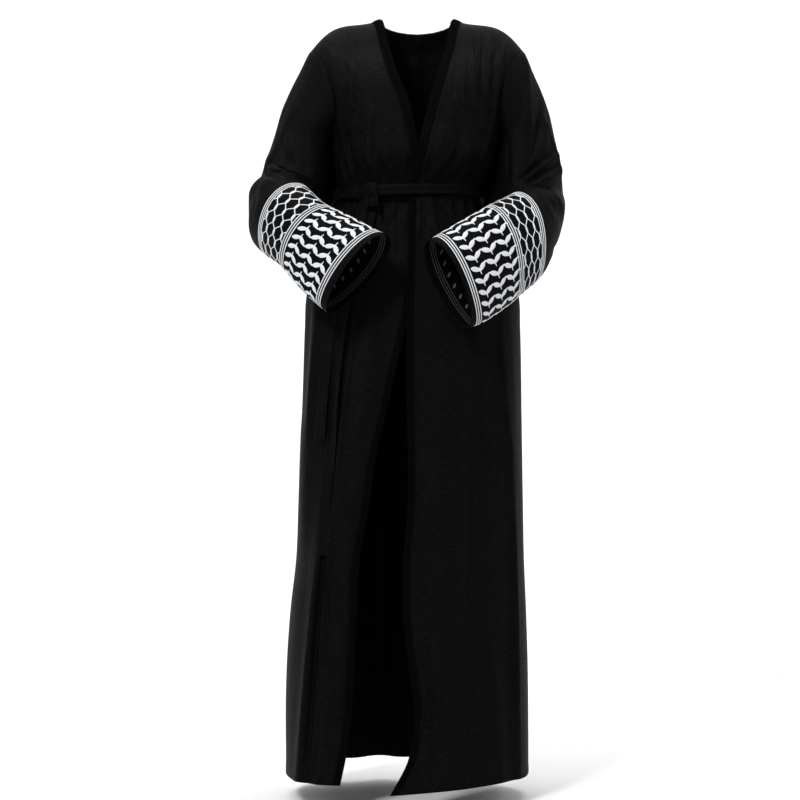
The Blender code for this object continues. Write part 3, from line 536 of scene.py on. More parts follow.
# Creases on the front of each sleeve, placed like the panels' creases. They fade out where
# the sleeve turns away, and toward the embroidery.
FRONT_FADE, CREASE_FROM, CREASE_FADE = 0.5, 0.24, 0.04
SLEEVE_FRONT_CREASES = {
    1: (
        (219, -60, 221, -216, 0, 4, 5, 1), (208, -98, 204, -203, 0, -3.4, 4, 1),
        (242, -140, 221, -265, 7, -6.6, 4.6, 1), (253, -184, 245, -248, 3, 3.4, 6, 0),
        (180, -221, 180, -315, 0, -3.4, 3, 0), (191, -206, 189, -308, 0, 2.2, 6, 0),
        (262, -252, 198, -306, -2, -8.4, 6.2, -2.4), (280, -247, 208, -306, -3, 5.6, 3.6, 0),
        (288, -263, 196, -318, -2, -7.8, 5.2, -1), (228, -319, 262, -379, 3, 3, 5, 1),
        (242, -323, 277, -379, 3, -3.6, 4.8, 1), (255, -311, 288, -364, 2, 3, 5, 1),
    ),
    -1: (
        (-242, -188, -212, -285, 1, 3.4, 5, 1), (-255, -203, -229, -293, 1, -3.4, 5, 1),
        (-282, -143, -289, -244, -3, 3, 7, 1), (-207, -188, -199, -293, 0, -3, 5, 1),
        (-270, -263, -225, -293, 2, -5, 4.6, -1), (-282, -274, -210, -300, 2, 4.2, 4, 0),
        (-300, -278, -237, -311, 2, -4.4, 5, 0), (-304, -300, -323, -364, 2, 3, 5, 0),
        (-289, -311, -304, -386, 2, -3, 5, 0),
    ),
}
# Where the loose cloth under the arm lies against the body: its levels, its place from front
# to back, and how far up the sleeve it starts
CLING_TOP, CLING_FOOT, CLING_TOP_FADE, CLING_FOOT_FADE = -0.190, -0.385, 0.018, 0.03
CLING_BEHIND, CLING_WIDE, CLING_FROM = 0.024, 0.036, 0.22
# How far it stays clear of the body and of the belt, and the part of the body that it is near
CLING_CLEAR, CLING_BELT, BELT_LEVEL, BELT_REACH = 0.0016, 0.0070, -0.334, 0.017
BODY_OUT, BODY_LEVEL, BODY_REACH = 0.08, -0.3, 0.14
# Points along an armhole's seam, and how far below the underarm it starts
SEAM_STEPS, UNDERARM_LAP = 1200, 0.001


def meet(ring, edge):
    """A ring's points brought onto the nearest places of a seam line, a little inward."""
    apart = np.linalg.norm(np.diff(edge, axis=0), axis=1) > 1e-5
    fine = smooth_through(edge[np.concatenate(((True,), apart))], np.linspace(0, 1, SEAM_STEPS))
    gap = np.linalg.norm(ring[:, None, :] - fine[None], axis=2)
    return fine[gap.argmin(axis=1)] + SEAM_SINK * unit(ring.mean(axis=0) - ring)


sleeve = {}
for side, name in ((1, "sleeve_left"), (-1, "sleeve_right")):
    cad = cad_grid(name, CAD_WALL, (side, 0, 0), CUFF_START[side], CUFF_TOWARD[side], closed=True)
    seam = np.concatenate((front_grid[side][:, -1], back_grid[::-1, BACK_SIDE[side]]))
    seam = seam[seam[:, 2] > back_cad[UNDERARM_ROW - 1, 0, 2] - UNDERARM_LAP]
    cad = np.concatenate((cad, meet(cad[-1], seam)[None]))
    grid = refine(cad, SLEEVE_FINE_ROWS, SLEEVE_FINE_COLUMNS, closed=True)
    grid[-1] = meet(grid[-1], seam)
    middle = grid[SLEEVE_FINE_ROWS // 2]
    toward = middle[SLEEVE_FINE_COLUMNS // 2] - middle.mean(axis=0)
    face = facing_of(grid, toward, closed=True)
    up = run_of(grid, 0)
    round_way = np.linspace(0, 1, SLEEVE_FINE_COLUMNS)
    from_crook = np.linalg.norm(grid[CROOK_ROW] - np.array(CUFF_START[side]), axis=1)
    crook = round_way[from_crook.argmin()]
    turned = ((round_way - crook + 0.5) % 1 - 0.5)[None, :] * SLEEVE_GIRTH + 0 * up
    rise = creased(up, side * turned, SLEEVE_CREASES) * below_seam(up) * ease(up / SEAM_FADE)
    rise += hem_step(up, CUFF_HEM, CUFF_STEP, CUFF_SOFT)
    front = creased(grid[:, :, 0], grid[:, :, 2], SLEEVE_FRONT_CREASES[side])
    front *= ease(-face[:, :, 1] / FRONT_FADE) * below_seam(up)
    rise += front * ease((up - CREASE_FROM) / CREASE_FADE)
    grid = grid + face * rise[:, :, None]

    body = np.concatenate((front_grid[side].reshape(-1, 3), back_grid.reshape(-1, 3)))
    body = body[(side * body[:, 0] > BODY_OUT) & (abs(body[:, 2] - BODY_LEVEL) < BODY_REACH)]
    level = grid[:, :, 2]
    near = (side * face[:, :, 0] < 0) & (level < CLING_TOP) & (level > CLING_FOOT)
    near &= up > CLING_FROM
    place = grid[near]
    gap = np.linalg.norm(place[:, None, 1:] - body[None, :, 1:], axis=2)
    wall = body[gap.argmin(axis=1)]
    clear = CLING_CLEAR + CLING_BELT * bell((place[:, 2] - BELT_LEVEL) / BELT_REACH)
    away = np.maximum(side * (place[:, 0] - wall[:, 0]) - clear, 0)
    share = bell(((place[:, 1] - CLING_BEHIND) / CLING_WIDE) ** 2)
    share *= ease((CLING_TOP - place[:, 2]) / CLING_TOP_FADE)
    share *= ease((place[:, 2] - CLING_FOOT) / CLING_FOOT_FADE)
    place[:, 0] -= side * away * share * ease(-side * face[near][:, 0] / FRONT_FADE)
    grid[near] = place
    face = facing_of(grid, toward, closed=True)
    piece = cloth_piece(name + "_cloth", grid, face, CREPE_THICK, crepe)
    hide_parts(name)
    sleeve[side] = dict(piece=piece, grid=grid, face=face, up=up, crook=crook)


# EMBROIDERY
# White satin stitch on both sleeves, from the cuff up: three lines, rows of paired leaves on
# zigzag stems, three lines, a net with thick knots, and three lines. It is worked through the
# crepe, so its dull back shows inside the cuff, where its colour is darkened as painted shade.
# The thread's darker colour is painted shade in bands along the stitches, mixed with random uneven
# tone
THREAD_WHITE, THREAD_SHADE = (0.76, 0.78, 0.81, 1), (0.40, 0.42, 0.46, 1)
# The back's two colours are the white thread darkened as painted shade for the inside of the cuff
BACK_PAINTED_SHADE_PALE, BACK_PAINTED_SHADE_DARK = (0.10, 0.102, 0.108, 1), (0.03, 0.031, 0.033, 1)
STITCH_PITCH, STITCH_SLANT, STITCH_RELIEF, STITCH_DEEP = 0.00052, 0.7, 0.5, 0.00012
THREAD_GRAIN, THREAD_UNEVEN, THREAD_WAVE, THREAD_BLOTCH = 900.0, 0.8, 0.16, 0.5
THREAD_ROUGHNESS, THREAD_SHEEN, BACK_ROUGHNESS, BACK_SHEEN = 0.42, 0.15, 0.7, 0.05
THREAD_DULLER, THREAD_SPECULAR, THREAD_SHEEN_ROUGH = 0.25, 0.35, 0.4
# A stroke is a low dome. Its edges are sunk in the cloth, and a leaf has a vein.
STROKE_ACROSS, STROKE_SUNK, VEIN_WIDE, VEIN_DEEP = 7, 0.00004, 0.22, 0.30
LINE_WIDE, LINE_PITCH, LINE_HIGH, LINE_ACROSS, LINE_STEPS = 0.0024, 0.0053, 0.0007, 5, 241
LINE_GROUP = 0.0079
# Leaves, spikes and stem necks have their places along a repeat as shares of it, and their
# places across and sizes in metres
LEAF_PERIOD, LEAF_ROWS, LEAF_PERIODS, LEAF_SHIFT, LEAF_TURN = 0.034, 21, 3, 0.02, 0.4
LEAF_HIGH, LEAF_STEPS, LEAF_SKEW, LEAF_SHARP, LEAF_PLUMP = 0.0011, 15, 0.85, 0.85, 0.40
LEAF_TIP, TIP_START, TIP_GROWS = 0.30, 0.3, 14
FLAT_LEAF = ((0.02, 0.0004), (0.545, 0.0100), 0.0088)
STEEP_LEAF = ((0.945, 0.0004), (0.455, 0.0106), 0.0084)
STEM_HIGH, STEM_STEPS = 0.0008, 7
SPIKE_AT, SPIKE_LEAN, SPIKE_FOOT, SPIKE_LONG = 0.50, 0.0012, 0.0092, 0.0080
SPIKE_HALF, SPIKE_TAPER = 0.0014, 0.65
NECK_AT, NECK_SPAN, NECK_RISE, NECK_SAG, NECK_HALF = 0.86, 0.24, 0.0016, 0.0014, 0.0015
BACK_LINE_SLIM, BACK_LEAF_SMALL, BACK_HIGH, BACK_OFF = 0.38, 0.56, 0.25, 0.00006
NET_COLUMNS, NET_ROWS, NET_PITCH, NET_WIDTH, NET_FIRST = 3, 18, 0.0230, 0.062, 0.28
CORD_WIDE, CORD_HIGH, CORD_LAP, CORD_STEPS, NET_INSET = 0.0020, 0.0007, 0.0008, 9, 0.0066
KNOT_WIDE, KNOT_LONG, KNOT_LEAN, KNOT_TALLER, KNOT_TAPER = 0.0048, 0.0132, 0.0003, 1.4, 0.45
# The three rings of lines on each sleeve: how far up it, how much further at the crook of
# the elbow, and how much further a quarter turn on from there
LINE_RINGS = {
    1: ((0.0205, 0.0000, -0.0035), (0.1400, 0.0060, 0.0040), (0.2110, 0.0125, 0.0030)),
    -1: ((0.0222, -0.0025, 0.0000), (0.1340, -0.0010, 0.0060), (0.2175, 0.0080, 0.0090)),
}


def thread_material(name, light, dark, roughness, sheen):
    """Satin stitches laid slantwise from a shape's middle line, their shine kept soft. Their
    colour is darkened as painted shade in bands along the stitches, and by random uneven tone.
    """
    material, tree, place = new_material(name)
    split = add_node(tree, "SeparateXYZ", ((0, place),)).outputs
    side = maths(tree, "ABSOLUTE", split["Y"])
    lean = maths(tree, "MULTIPLY_ADD", side, STITCH_SLANT, split["X"])
    turn = maths(tree, "DIVIDE", lean, STITCH_PITCH)
    wave = maths(tree, "SINE", maths(tree, "MULTIPLY", turn, 2 * pi))
    uneven = noise(tree, place, THREAD_GRAIN, 1.0)
    blotch = maths(tree, "MULTIPLY", uneven, THREAD_BLOTCH)
    # painted shade: the stitch wave darkens the colour in bands along the stitches; the noise adds
    # uneven tone
    shade = maths(tree, "MULTIPLY_ADD", wave, THREAD_WAVE, blotch)
    coat(
        tree,
        shade,
        (light, dark),
        maths(tree, "MULTIPLY_ADD", shade, THREAD_DULLER, roughness),
        (maths(tree, "MULTIPLY_ADD", uneven, THREAD_UNEVEN, wave), STITCH_RELIEF, STITCH_DEEP),
        Specular_IOR_Level=THREAD_SPECULAR,
        Sheen_Weight=sheen,
        Sheen_Roughness=THREAD_SHEEN_ROUGH,
    )
    return material


white_thread = thread_material(
    "white_satin_thread", THREAD_WHITE, THREAD_SHADE, THREAD_ROUGHNESS, THREAD_SHEEN
)
# painted shade: the thread's back is a darkened copy of the white thread
thread_back_painted_shade = thread_material("thread_back_painted_shade", BACK_PAINTED_SHADE_PALE, BACK_PAINTED_SHADE_DARK, BACK_ROUGHNESS, BACK_SHEEN)


def dome(share):
    """A stroke's share of its full height, at a share of its half width."""
    return np.sqrt(np.clip(1 - share**2, 0, 1))


def stroke(x, y, half, height, vein=0.0):
    """A stitched stroke: its middle line, half width and height at each place, as rows of
    (along, round, height) and a map. A vein is sunk down its middle by a share of its height."""
    x, y, half = (np.asarray(values, float) for values in (x, y, half))
    way = unit(np.stack((np.gradient(x), np.gradient(y)), axis=1))
    share = np.linspace(-1, 1, STROKE_ACROSS)
    across = half[:, None] * share[None]
    place = np.stack((x[:, None] - way[:, 1:] * across, y[:, None] + way[:, :1] * across), axis=2)
    full = np.clip(half / max(half.max(), 1e-6), 0, 1)[:, None] ** 0.5
    sunk = vein * bell(share / VEIN_WIDE)
    high = height * (dome(share) - sunk)[None] * full - STROKE_SUNK
    run = np.concatenate(([0], np.cumsum(np.hypot(np.diff(x), np.diff(y)))))
    maps = np.stack((run[:, None] + 0 * across, across), axis=2)
    return np.concatenate((place, high[:, :, None]), axis=2), maps


def leaf(start, end, wide):
    """A plump leaf from its narrow end to its round end."""
    t = (1 - np.cos(np.linspace(0, pi, LEAF_STEPS))) / 2
    (x_1, y_1), (x_2, y_2) = start, end
    x_1, x_2 = LEAF_PERIOD * x_1, LEAF_PERIOD * x_2
    full = np.sin(pi * t**LEAF_SKEW) ** (LEAF_SHARP - LEAF_PLUMP * t)
    tip = LEAF_TIP * (1 - t) * np.minimum(1, TIP_GROWS * t + TIP_START)
    half = wide / 2 * np.maximum(full, tip)
    return stroke(x_1 + (x_2 - x_1) * t, y_1 + (y_2 - y_1) * t, half, LEAF_HIGH, VEIN_DEEP)


def leaf_period():
    """One repeat of a leaf row: a flat leaf, a steep leaf, the spike between them, a neck."""
    t = np.linspace(0, 1, STEM_STEPS)
    spike = stroke(
        SPIKE_AT * LEAF_PERIOD + SPIKE_LEAN * t,
        SPIKE_FOOT + SPIKE_LONG * t,
        SPIKE_HALF * (1 - SPIKE_TAPER * t**2),
        STEM_HIGH,
    )
    neck = stroke(
        LEAF_PERIOD * (NECK_AT + NECK_SPAN * t),
        NECK_RISE - NECK_SAG * np.sin(pi * t),
        NECK_HALF + 0 * t,
        STEM_HIGH,
    )
    return [leaf(*FLAT_LEAF), leaf(*STEEP_LEAF), spike, neck]


def net_strokes():
    """The net's thick knots and thin cords. Places up the sleeve are shares of the net's
    width, and the strokes are cut off at its two edges."""
    cell = NET_WIDTH / NET_COLUMNS
    strokes = []

    def add(x_1, y_1, x_2, y_2, wide, high, taper):
        if max(x_1, x_2) <= 0 or min(x_1, x_2) >= NET_WIDTH:
            return
        cuts = sorted(edge / (x_2 - x_1) for edge in (0 - x_1, NET_WIDTH - x_1))
        t = np.linspace(max(0.0, cuts[0]), min(1.0, cuts[1]), CORD_STEPS)
        half = wide / 2 * (1 - taper * np.abs(2 * t - 1) ** 3)
        points, maps = stroke(x_1 + (x_2 - x_1) * t, y_1 + (y_2 - y_1) * t, half, high)
        points[:, :, 0] /= NET_WIDTH
        strokes.append((points, maps))

    half = KNOT_LONG / 2
    for j in range(NET_ROWS):
        for i in range(-1, NET_COLUMNS + 1):
            x, y = (i + NET_FIRST + 0.5 * (j % 2)) * cell, j * NET_PITCH
            low, top = x - KNOT_LEAN, x + KNOT_LEAN
            add(low, y - half, top, y + half, KNOT_WIDE, CORD_HIGH * KNOT_TALLER, KNOT_TAPER)
            foot, end = y + half - CORD_LAP, y + NET_PITCH - half + CORD_LAP
            for step in (-0.5, 0.5):
                add(top, foot, x + step * cell - KNOT_LEAN, end, CORD_WIDE, CORD_HIGH, 0.0)
    return strokes


def sample(field, row, column):
    """A grid's value at fractional rows and columns."""
    row = np.clip(row, 0, field.shape[0] - 1.000001)
    i, j = row.astype(int), np.minimum(column.astype(int), field.shape[1] - 2)
    a, b = row - i, column - j
    if field.ndim == 3:
        a, b = a[..., None], b[..., None]
    near = field[i, j] * (1 - b) + field[i, j + 1] * b
    far = field[i + 1, j] * (1 - b) + field[i + 1, j + 1] * b
    return near * (1 - a) + far * a


# A table of the grid's rows at even steps up the sleeve, the part of the sleeve whose girth
# counts, and a place on it that tells which way round the grid runs
TABLE_STEPS, TABLE_REACH = 500, 0.26
GIRTH_FROM, GIRTH_TO = 0.02, 0.14
SENSE = (11, 10)
for side, name in ((1, "left"), (-1, "right")):
    grid, face, up = sleeve[side]["grid"], sleeve[side]["face"], sleeve[side]["up"]
    reach = np.linspace(0, TABLE_REACH, TABLE_STEPS)
    all_rows = np.arange(grid.shape[0])
    row_table = np.stack([np.interp(reach, way, all_rows) for way in up.T], axis=1)
    rounds = run_of(grid, 1)[:, -1]
    girth = float(rounds[(up[:, 0] > GIRTH_FROM) & (up[:, 0] < GIRTH_TO)].mean())
    here, onward, higher = grid[SENSE], grid[SENSE[0], SENSE[1] + 1], grid[SENSE[0] + 1, SENSE[1]]
    sense = 1 if np.dot(onward - here, np.cross(higher - here, face[SENSE])) > 0 else -1

    def ring_at(ring, turn):
        """How far up the sleeve a ring of lines lies at each turn."""
        far, at_crook, beside = LINE_RINGS[side][ring]
        angle = 2 * pi * (turn - sleeve[side]["crook"])
        return far + at_crook * np.cos(angle) + beside * np.sin(angle)

    def on_sleeve(away, turn, height):
        """Points at a distance up the sleeve, a turn round it and a height over its cloth."""
        column = turn % 1 * (SLEEVE_FINE_COLUMNS - 1)
        row = sample(row_table, away / TABLE_REACH * (TABLE_STEPS - 1), column)
        return sample(grid, row, column) + sample(face, row, column) * height[..., None]

    strokes = []

    def add_between(ring, inset, along, turn, height, maps, on_back):
        """A stroke between two rings of lines. Only some also show on the sleeve's inside."""
        low, top = ring_at(ring, turn) + inset, ring_at(ring + 1, turn) - inset
        strokes.append((low + (top - low) * along, turn, height, maps, on_back))

    turns = np.linspace(0, 1, LINE_STEPS)[None] + np.zeros((LINE_ACROSS, 1))
    share = np.linspace(-1, 1, LINE_ACROSS)[:, None]
    maps = np.stack((turns * girth, share * LINE_WIDE / 2 + 0 * turns), axis=2)
    for ring in range(3):
        for step in (-1, 0, 1):
            away = ring_at(ring, turns) + step * LINE_PITCH + share * LINE_WIDE / 2
            high = LINE_HIGH * dome(share) - STROKE_SUNK + 0 * turns
            strokes.append((away, turns, high, maps, ring == 0))
    for k in range(LEAF_ROWS):
        for part, (points, maps) in enumerate(leaf_period()):
            for period in range(LEAF_PERIODS):
                turn = (k + LEAF_TURN) / LEAF_ROWS + sense * points[:, :, 1] / girth
                along = (period + points[:, :, 0] / LEAF_PERIOD + LEAF_SHIFT) / LEAF_PERIODS
                along = along if side == 1 else 1 - along
                add_between(0, LINE_GROUP, along, turn, points[:, :, 2], maps, part == 0)
    for points, maps in net_strokes():
        turn = sense * points[:, :, 1] / (NET_ROWS * NET_PITCH)
        add_between(1, NET_INSET, points[:, :, 0], turn, points[:, :, 2], maps, False)

    bm, inner_bm = bmesh.new(), bmesh.new()
    chart, inner_chart = (each.loops.layers.uv.new("cloth") for each in (bm, inner_bm))
    for away, turn, height, maps, on_back in strokes:
        patch(bm, chart, on_sleeve(away, turn, height), maps)
        if on_back:
            is_line = len(away) == LINE_ACROSS
            keep, ways = (BACK_LINE_SLIM, 0) if is_line else (BACK_LEAF_SMALL, (0, 1))
            away = keep * away + (1 - keep) * away.mean(axis=ways, keepdims=True)
            turn = keep * turn + (1 - keep) * turn.mean(axis=ways, keepdims=True)
            under = on_sleeve(away, turn, -CREPE_THICK - BACK_HIGH * height - BACK_OFF)
            patch(inner_bm, inner_chart, under, maps)
    bmesh.ops.recalc_face_normals(bm, faces=bm.faces)
    outer = mesh_piece("embroidery_" + name, bm, white_thread)
    inner = mesh_piece("embroidery_back_" + name, inner_bm, thread_back_painted_shade)


# BRUSH TRIM
# A woven tape with a dense short black pile is sewn over both front edges and round the
# neck. The pile stands in fine crosswise rows and leans out over the tape's edges.
PILE_BLACK, PILE_ROUGHNESS, PILE_BUMP = (0.0022, 0.0022, 0.0024, 1), 0.85, 0.0002
PILE_SLUB, PILE_SHEEN = 0.0021, 0.004
PILE_TALL, PILE_UNEVEN, PILE_ROOT = 0.0022, (0.75, 1.08), 0.0003
PILE_WIDE, PILE_PITCH, PILE_ROW, PILE_TURN = 0.0008, 0.0013, 0.0019, 0.5
# How far tufts stray along and across, in grid steps, how much they lean at random along and
# across, and how much they lean out at the edges
STRAY_ALONG, STRAY_ACROSS, LEAN_ALONG, LEAN_ACROSS, LEAN_OUT = 0.06, 0.12, 0.16, 0.18, 0.9
TRIM_WALL, TRIM_COLUMNS, TRIM_SLIM, TRIM_EDGE = 0.0032, 9, 0.84, 0.02
TAPE_DROP, TAPE_CURL, TAPE_THICK = 0.0019, 0.0005, 0.0011
# Each trim has its outward way, the two corners of its first end, its fine rows, its flat
# size and the cloth under it
EDGE_FLAT, NECK_FLAT = (0.0155, 1.46), (0.0145, 0.22)
TRIMS = (
    ("brush_trim_left", (0, -1, 0), (-0.041, -0.204, -1.431), (-0.027, -0.204, -1.43), 520)
    + (EDGE_FLAT, "front_panel_left_cloth"),
    ("brush_trim_right", (0, -1, 0), (-0.132, -0.188, -1.415), (-0.147, -0.189, -1.415), 520)
    + (EDGE_FLAT, "front_panel_right_cloth"),
    ("brush_trim_neck", (0, 0.5, 1), (-0.065, 0.0254, 0.0145), (-0.081, 0.024, 0.0075), 180)
    + (NECK_FLAT, "back_panel_cloth"),
)
pile = cloth_material(
    "black_pile", PILE_BLACK, PILE_BLACK, PILE_ROUGHNESS, PILE_BUMP, PILE_SLUB, PILE_SHEEN
)
chance = np.random.default_rng(7)
for name, out, start, end, rows, flat, under in TRIMS:
    grid = refine(cad_grid(name, TRIM_WALL, out, start, end), rows, TRIM_COLUMNS)
    grid = grid[:, :1] + TRIM_SLIM * (grid - grid[:, :1])
    face = facing_of(grid, out)
    share = np.linspace(-1, 1, TRIM_COLUMNS)
    drop = -TAPE_DROP - TAPE_CURL * share**4
    tape_grid = grid + face * drop[None, :, None]
    tape = cloth_piece(name + "_tape", tape_grid, face, TAPE_THICK, pile)
    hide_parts(name)

    long_way = run_of(grid, 0)[:, TRIM_COLUMNS // 2]
    wide = float(run_of(grid, 1)[:, -1].mean())
    count_rows, count_across = int(long_way[-1] / PILE_ROW), int(wide / PILE_PITCH) + 1
    row = (np.arange(count_rows) + 0.5) / count_rows * (len(grid) - 1)
    column = np.linspace(TRIM_EDGE, 1 - TRIM_EDGE, count_across) * (TRIM_COLUMNS - 1)
    row, column = np.repeat(row, count_across), np.tile(column, count_rows)
    row += chance.normal(0, STRAY_ALONG, len(row))
    column += chance.normal(0, STRAY_ACROSS, len(row))
    row = np.clip(row, 0, len(grid) - 1.001)
    column = np.clip(column, 0, TRIM_COLUMNS - 1.001)
    i, j = row.astype(int), column.astype(int)
    foot, normal = sample(tape_grid, row, column), sample(face, row, column)
    along, across = unit(grid[i + 1, j] - grid[i, j]), unit(grid[i, j + 1] - grid[i, j])
    outward = (column / (TRIM_COLUMNS // 2) - 1)[:, None] ** 3
    tall = PILE_TALL * chance.uniform(*PILE_UNEVEN, (len(foot), 1))
    lean = across * outward * LEAN_OUT + along * chance.normal(0, LEAN_ALONG, (len(foot), 1))
    lean = lean + across * chance.normal(0, LEAN_ACROSS, (len(foot), 1))
    corners = []
    for k in range(3):
        turn = 2 * pi * k / 3 + PILE_TURN
        toe = (along * cos(turn) + across * sin(turn)) * PILE_WIDE
        corners.append(foot - normal * PILE_ROOT + toe)
    verts = np.stack((*corners, foot + unit(normal + lean) * tall), axis=1).reshape(-1, 3)
    first = np.arange(len(foot))[:, None] * 4
    faces = [first + np.array(way) for way in ((0, 1, 3), (1, 2, 3), (2, 0, 3), (2, 1, 0))]
    mesh = bpy.data.meshes.new(name + "_pile")
    mesh.from_pydata(verts.tolist(), [], np.concatenate(faces).tolist())
    bm = bmesh.new()
    bm.from_mesh(mesh)
    bmesh.ops.recalc_face_normals(bm, faces=bm.faces)
    bm.to_mesh(mesh)
    bm.free()
    mesh.materials.append(pile)
    tufts = placed(name + "_pile", mesh)
    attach(tufts, "root")


# BELT
# A narrow crepe belt is wound round the waist, its two layers lying one above the other. It
# passes through a flat tie on the wearer's right, and its two ends hang from there.
BELT_WALL, BELT_THICK = 0.0022, 0.0010
BAND_START, BAND_TOWARD, BAND_FINE = (-0.149, 0, -0.334), (-0.149, 0.020, -0.334), (19, 420)
# The lower layer's share of the band's width, with a slow and a quick waver
LAYER_SHARE, SLOW_WAVER, QUICK_WAVER, LAYER_SOFT = 0.44, 0.03, 0.02, 0.01
LOWER_HIGH, UPPER_HIGH, LAYER_SUNK = 0.0009, 0.0017, 0.0009
# Fine slanting creases, which come and go in a few places round the band
BAND_CREASE, CREASE_COUNT, CREASE_SLANT, CREASE_PLACES = 0.00022, 34, 0.8, 5
# Left of the tie, on the wearer's right, a single layer shows
SINGLE_FROM, SINGLE_SOFT, SINGLE_LESS = -0.084, 0.006, 0.40
SINGLE_FRONT, SINGLE_FRONT_SOFT = -0.02, 0.02
band_cad = cad_grid("belt_band", BELT_WALL, (0, -1, 0), BAND_START, BAND_TOWARD, closed=True)
band_grid = refine(band_cad, *BAND_FINE, closed=True)
band_middle = band_grid[BAND_FINE[0] // 2]
toward = band_middle[BAND_FINE[1] // 2] - band_middle[:-1].mean(axis=0)
band_face = facing_of(band_grid, toward, closed=True)
share = np.linspace(0, 1, BAND_FINE[0])[:, None]
turn = np.linspace(0, 1, BAND_FINE[1])[None]
slow, quick = np.sin(2 * pi * turn * 3 + 1), np.sin(2 * pi * turn * 8)
split = LAYER_SHARE + SLOW_WAVER * slow + QUICK_WAVER * quick
lower = dome((share - split / 2) / (split / 2 + LAYER_SOFT))
upper = dome((share - (1 + split) / 2) / ((1 - split) / 2 + LAYER_SOFT))
rise = LOWER_HIGH * lower + np.where(share > split, UPPER_HIGH, 0.0) * upper - LAYER_SUNK
slant = np.sin(2 * pi * (turn * CREASE_COUNT + share * CREASE_SLANT))
rise = rise + BAND_CREASE * (slant * np.sin(2 * pi * turn * CREASE_PLACES + 0.7))
band_grid = band_grid + band_face * rise[:, :, None]
single = ease((SINGLE_FROM - band_grid[:, :, 0]) / SINGLE_SOFT)
single *= ease((SINGLE_FRONT - band_grid[:, :, 1]) / SINGLE_FRONT_SOFT)
band_grid[:, :, 2] -= SINGLE_LESS * single * (band_grid[:, :, 2] - band_grid[:1, :, 2])
band = cloth_piece("belt_band_cloth", band_grid, band_face, BELT_THICK, crepe)
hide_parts("belt_band")

# The tie bulges over the band, is pinched above it, and has small folds along it
TIE_WALL, TIE_START, TIE_END = 0.002, (-0.089, -0.102, -0.354), (-0.064, -0.113, -0.353)
TIE_ROWS, TIE_COLUMNS = 46, 30
BULGE_HIGH, BULGE_AT, BULGE_LONG = 0.0022, 0.62, 0.22
PINCH_DEEP, PINCH_AT, PINCH_LONG, PINCH_SIDES = 0.0011, 0.36, 0.10, 0.6
FOLD_HIGH, FOLD_WAVES, FOLD_SLANT, FOLD_TO = 0.0007, 2.6, 0.5, 1.15


tie_cad = cad_grid("belt_tie", TIE_WALL, (0, -1, 0), TIE_START, TIE_END)
tie_grid = refine(tie_cad, TIE_ROWS, TIE_COLUMNS)
tie_face = facing_of(tie_grid, (0, -1, 0))
long_way = np.linspace(0, 1, TIE_ROWS)[:, None]
wide_way = np.linspace(-1, 1, TIE_COLUMNS)[None]
bulge = BULGE_HIGH * bell((long_way - BULGE_AT) / BULGE_LONG) * (1 - wide_way**2)
folds = FOLD_HIGH * np.cos(pi * (wide_way * FOLD_WAVES + FOLD_SLANT * long_way))
folds = folds * np.clip(FOLD_TO - long_way, 0, 1)
pinch = -PINCH_DEEP * bell((long_way - PINCH_AT) / PINCH_LONG) * (1 - PINCH_SIDES * wide_way**2)
tie_grid = tie_grid + tie_face * (bulge + folds + pinch)[:, :, None]
tie = cloth_piece("belt_tie_cloth", tie_grid, tie_face, BELT_THICK, crepe)
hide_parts("belt_tie")

# Each tail curls from side to side, with stitched edges, a hem and a crease that wanders
TAILS = (
    ("belt_tail_short", (-0.18, -0.12, -0.787), (-0.161, -0.136, -0.787), (0.024, 0.46), 0.9),
    ("belt_tail_long", (-0.173, -0.154, -0.998), (-0.154, -0.163, -0.998), (0.024, 0.68), 2.1),
)
TAIL_ROWS, TAIL_COLUMNS = 280, 15
TAIL_CURL, CURL_WAVES, CURL_FADE_LOW, CURL_FADE_TOP = 0.0016, 21, 0.05, 0.06
EDGE_HIGH, EDGE_AT, EDGE_WIDE = 0.0004, 0.86, 0.07
TAIL_HEM, TAIL_HEM_STEP, TAIL_HEM_SOFT = 0.009, 0.0004, 0.0012
WANDER_HIGH, WANDER_OUT, WANDER_WIDE, WANDER_WAVES, WANDER_FADES = 0.0008, 0.3, 0.16, 9, 13
for name, start, end, flat, phase in TAILS:
    grid = refine(cad_grid(name, BELT_WALL, (0, -1, 0), start, end), TAIL_ROWS, TAIL_COLUMNS)
    face = facing_of(grid, (0, -1, 0))
    up = run_of(grid, 0)
    wide_way = np.linspace(-1, 1, TAIL_COLUMNS)[None]
    curl = TAIL_CURL * wide_way * np.sin(up * CURL_WAVES + phase)
    curl *= ease(up / CURL_FADE_LOW) * ease((up[-1:] - up) / CURL_FADE_TOP)
    edge = EDGE_HIGH * bell((np.abs(wide_way) - EDGE_AT) / EDGE_WIDE)
    hem = hem_step(up, TAIL_HEM, TAIL_HEM_STEP, TAIL_HEM_SOFT)
    wander = (wide_way - WANDER_OUT * np.sin(up * WANDER_WAVES + phase)) / WANDER_WIDE
    crease = WANDER_HIGH * bell(wander) * np.sin(up * WANDER_FADES + phase)
    grid = grid + face * (curl + edge + hem + crease)[:, :, None]
    tail = cloth_piece(name + "_cloth", grid, face, BELT_THICK, crepe)
    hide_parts(name)


# STUDIO
# A pale sweep of floor and wall that shows only from its front, a soft key light from the
# upper left, a weaker fill from the right, a faint strip at either side, a light on the wall,
# and a level camera at the garment's middle.
FLOOR_LEVEL, FLOOR_FRONT, FLOOR_BACK, SWEEP_HALF, SWEEP_STEPS = -1.46, -7, 1.6, 9, 48
TURN_RADIUS, WALL_TALL, TURN_FROM, WALL_FROM = 1.2, 5, 0.4, 0.8
PAPER_PALE, PAPER_ROUGHNESS = (0.86, 0.86, 0.865, 1), 0.9
WORLD_LIGHT, WORLD_SEEN = 0.25, 0.75
CAMERA_PLACE, PIXEL_SIZE = (-0.0228, -4.5, -0.7125), 0.0019
PHOTO_WIDTH, SENSOR_WIDTH = 800, 36.0

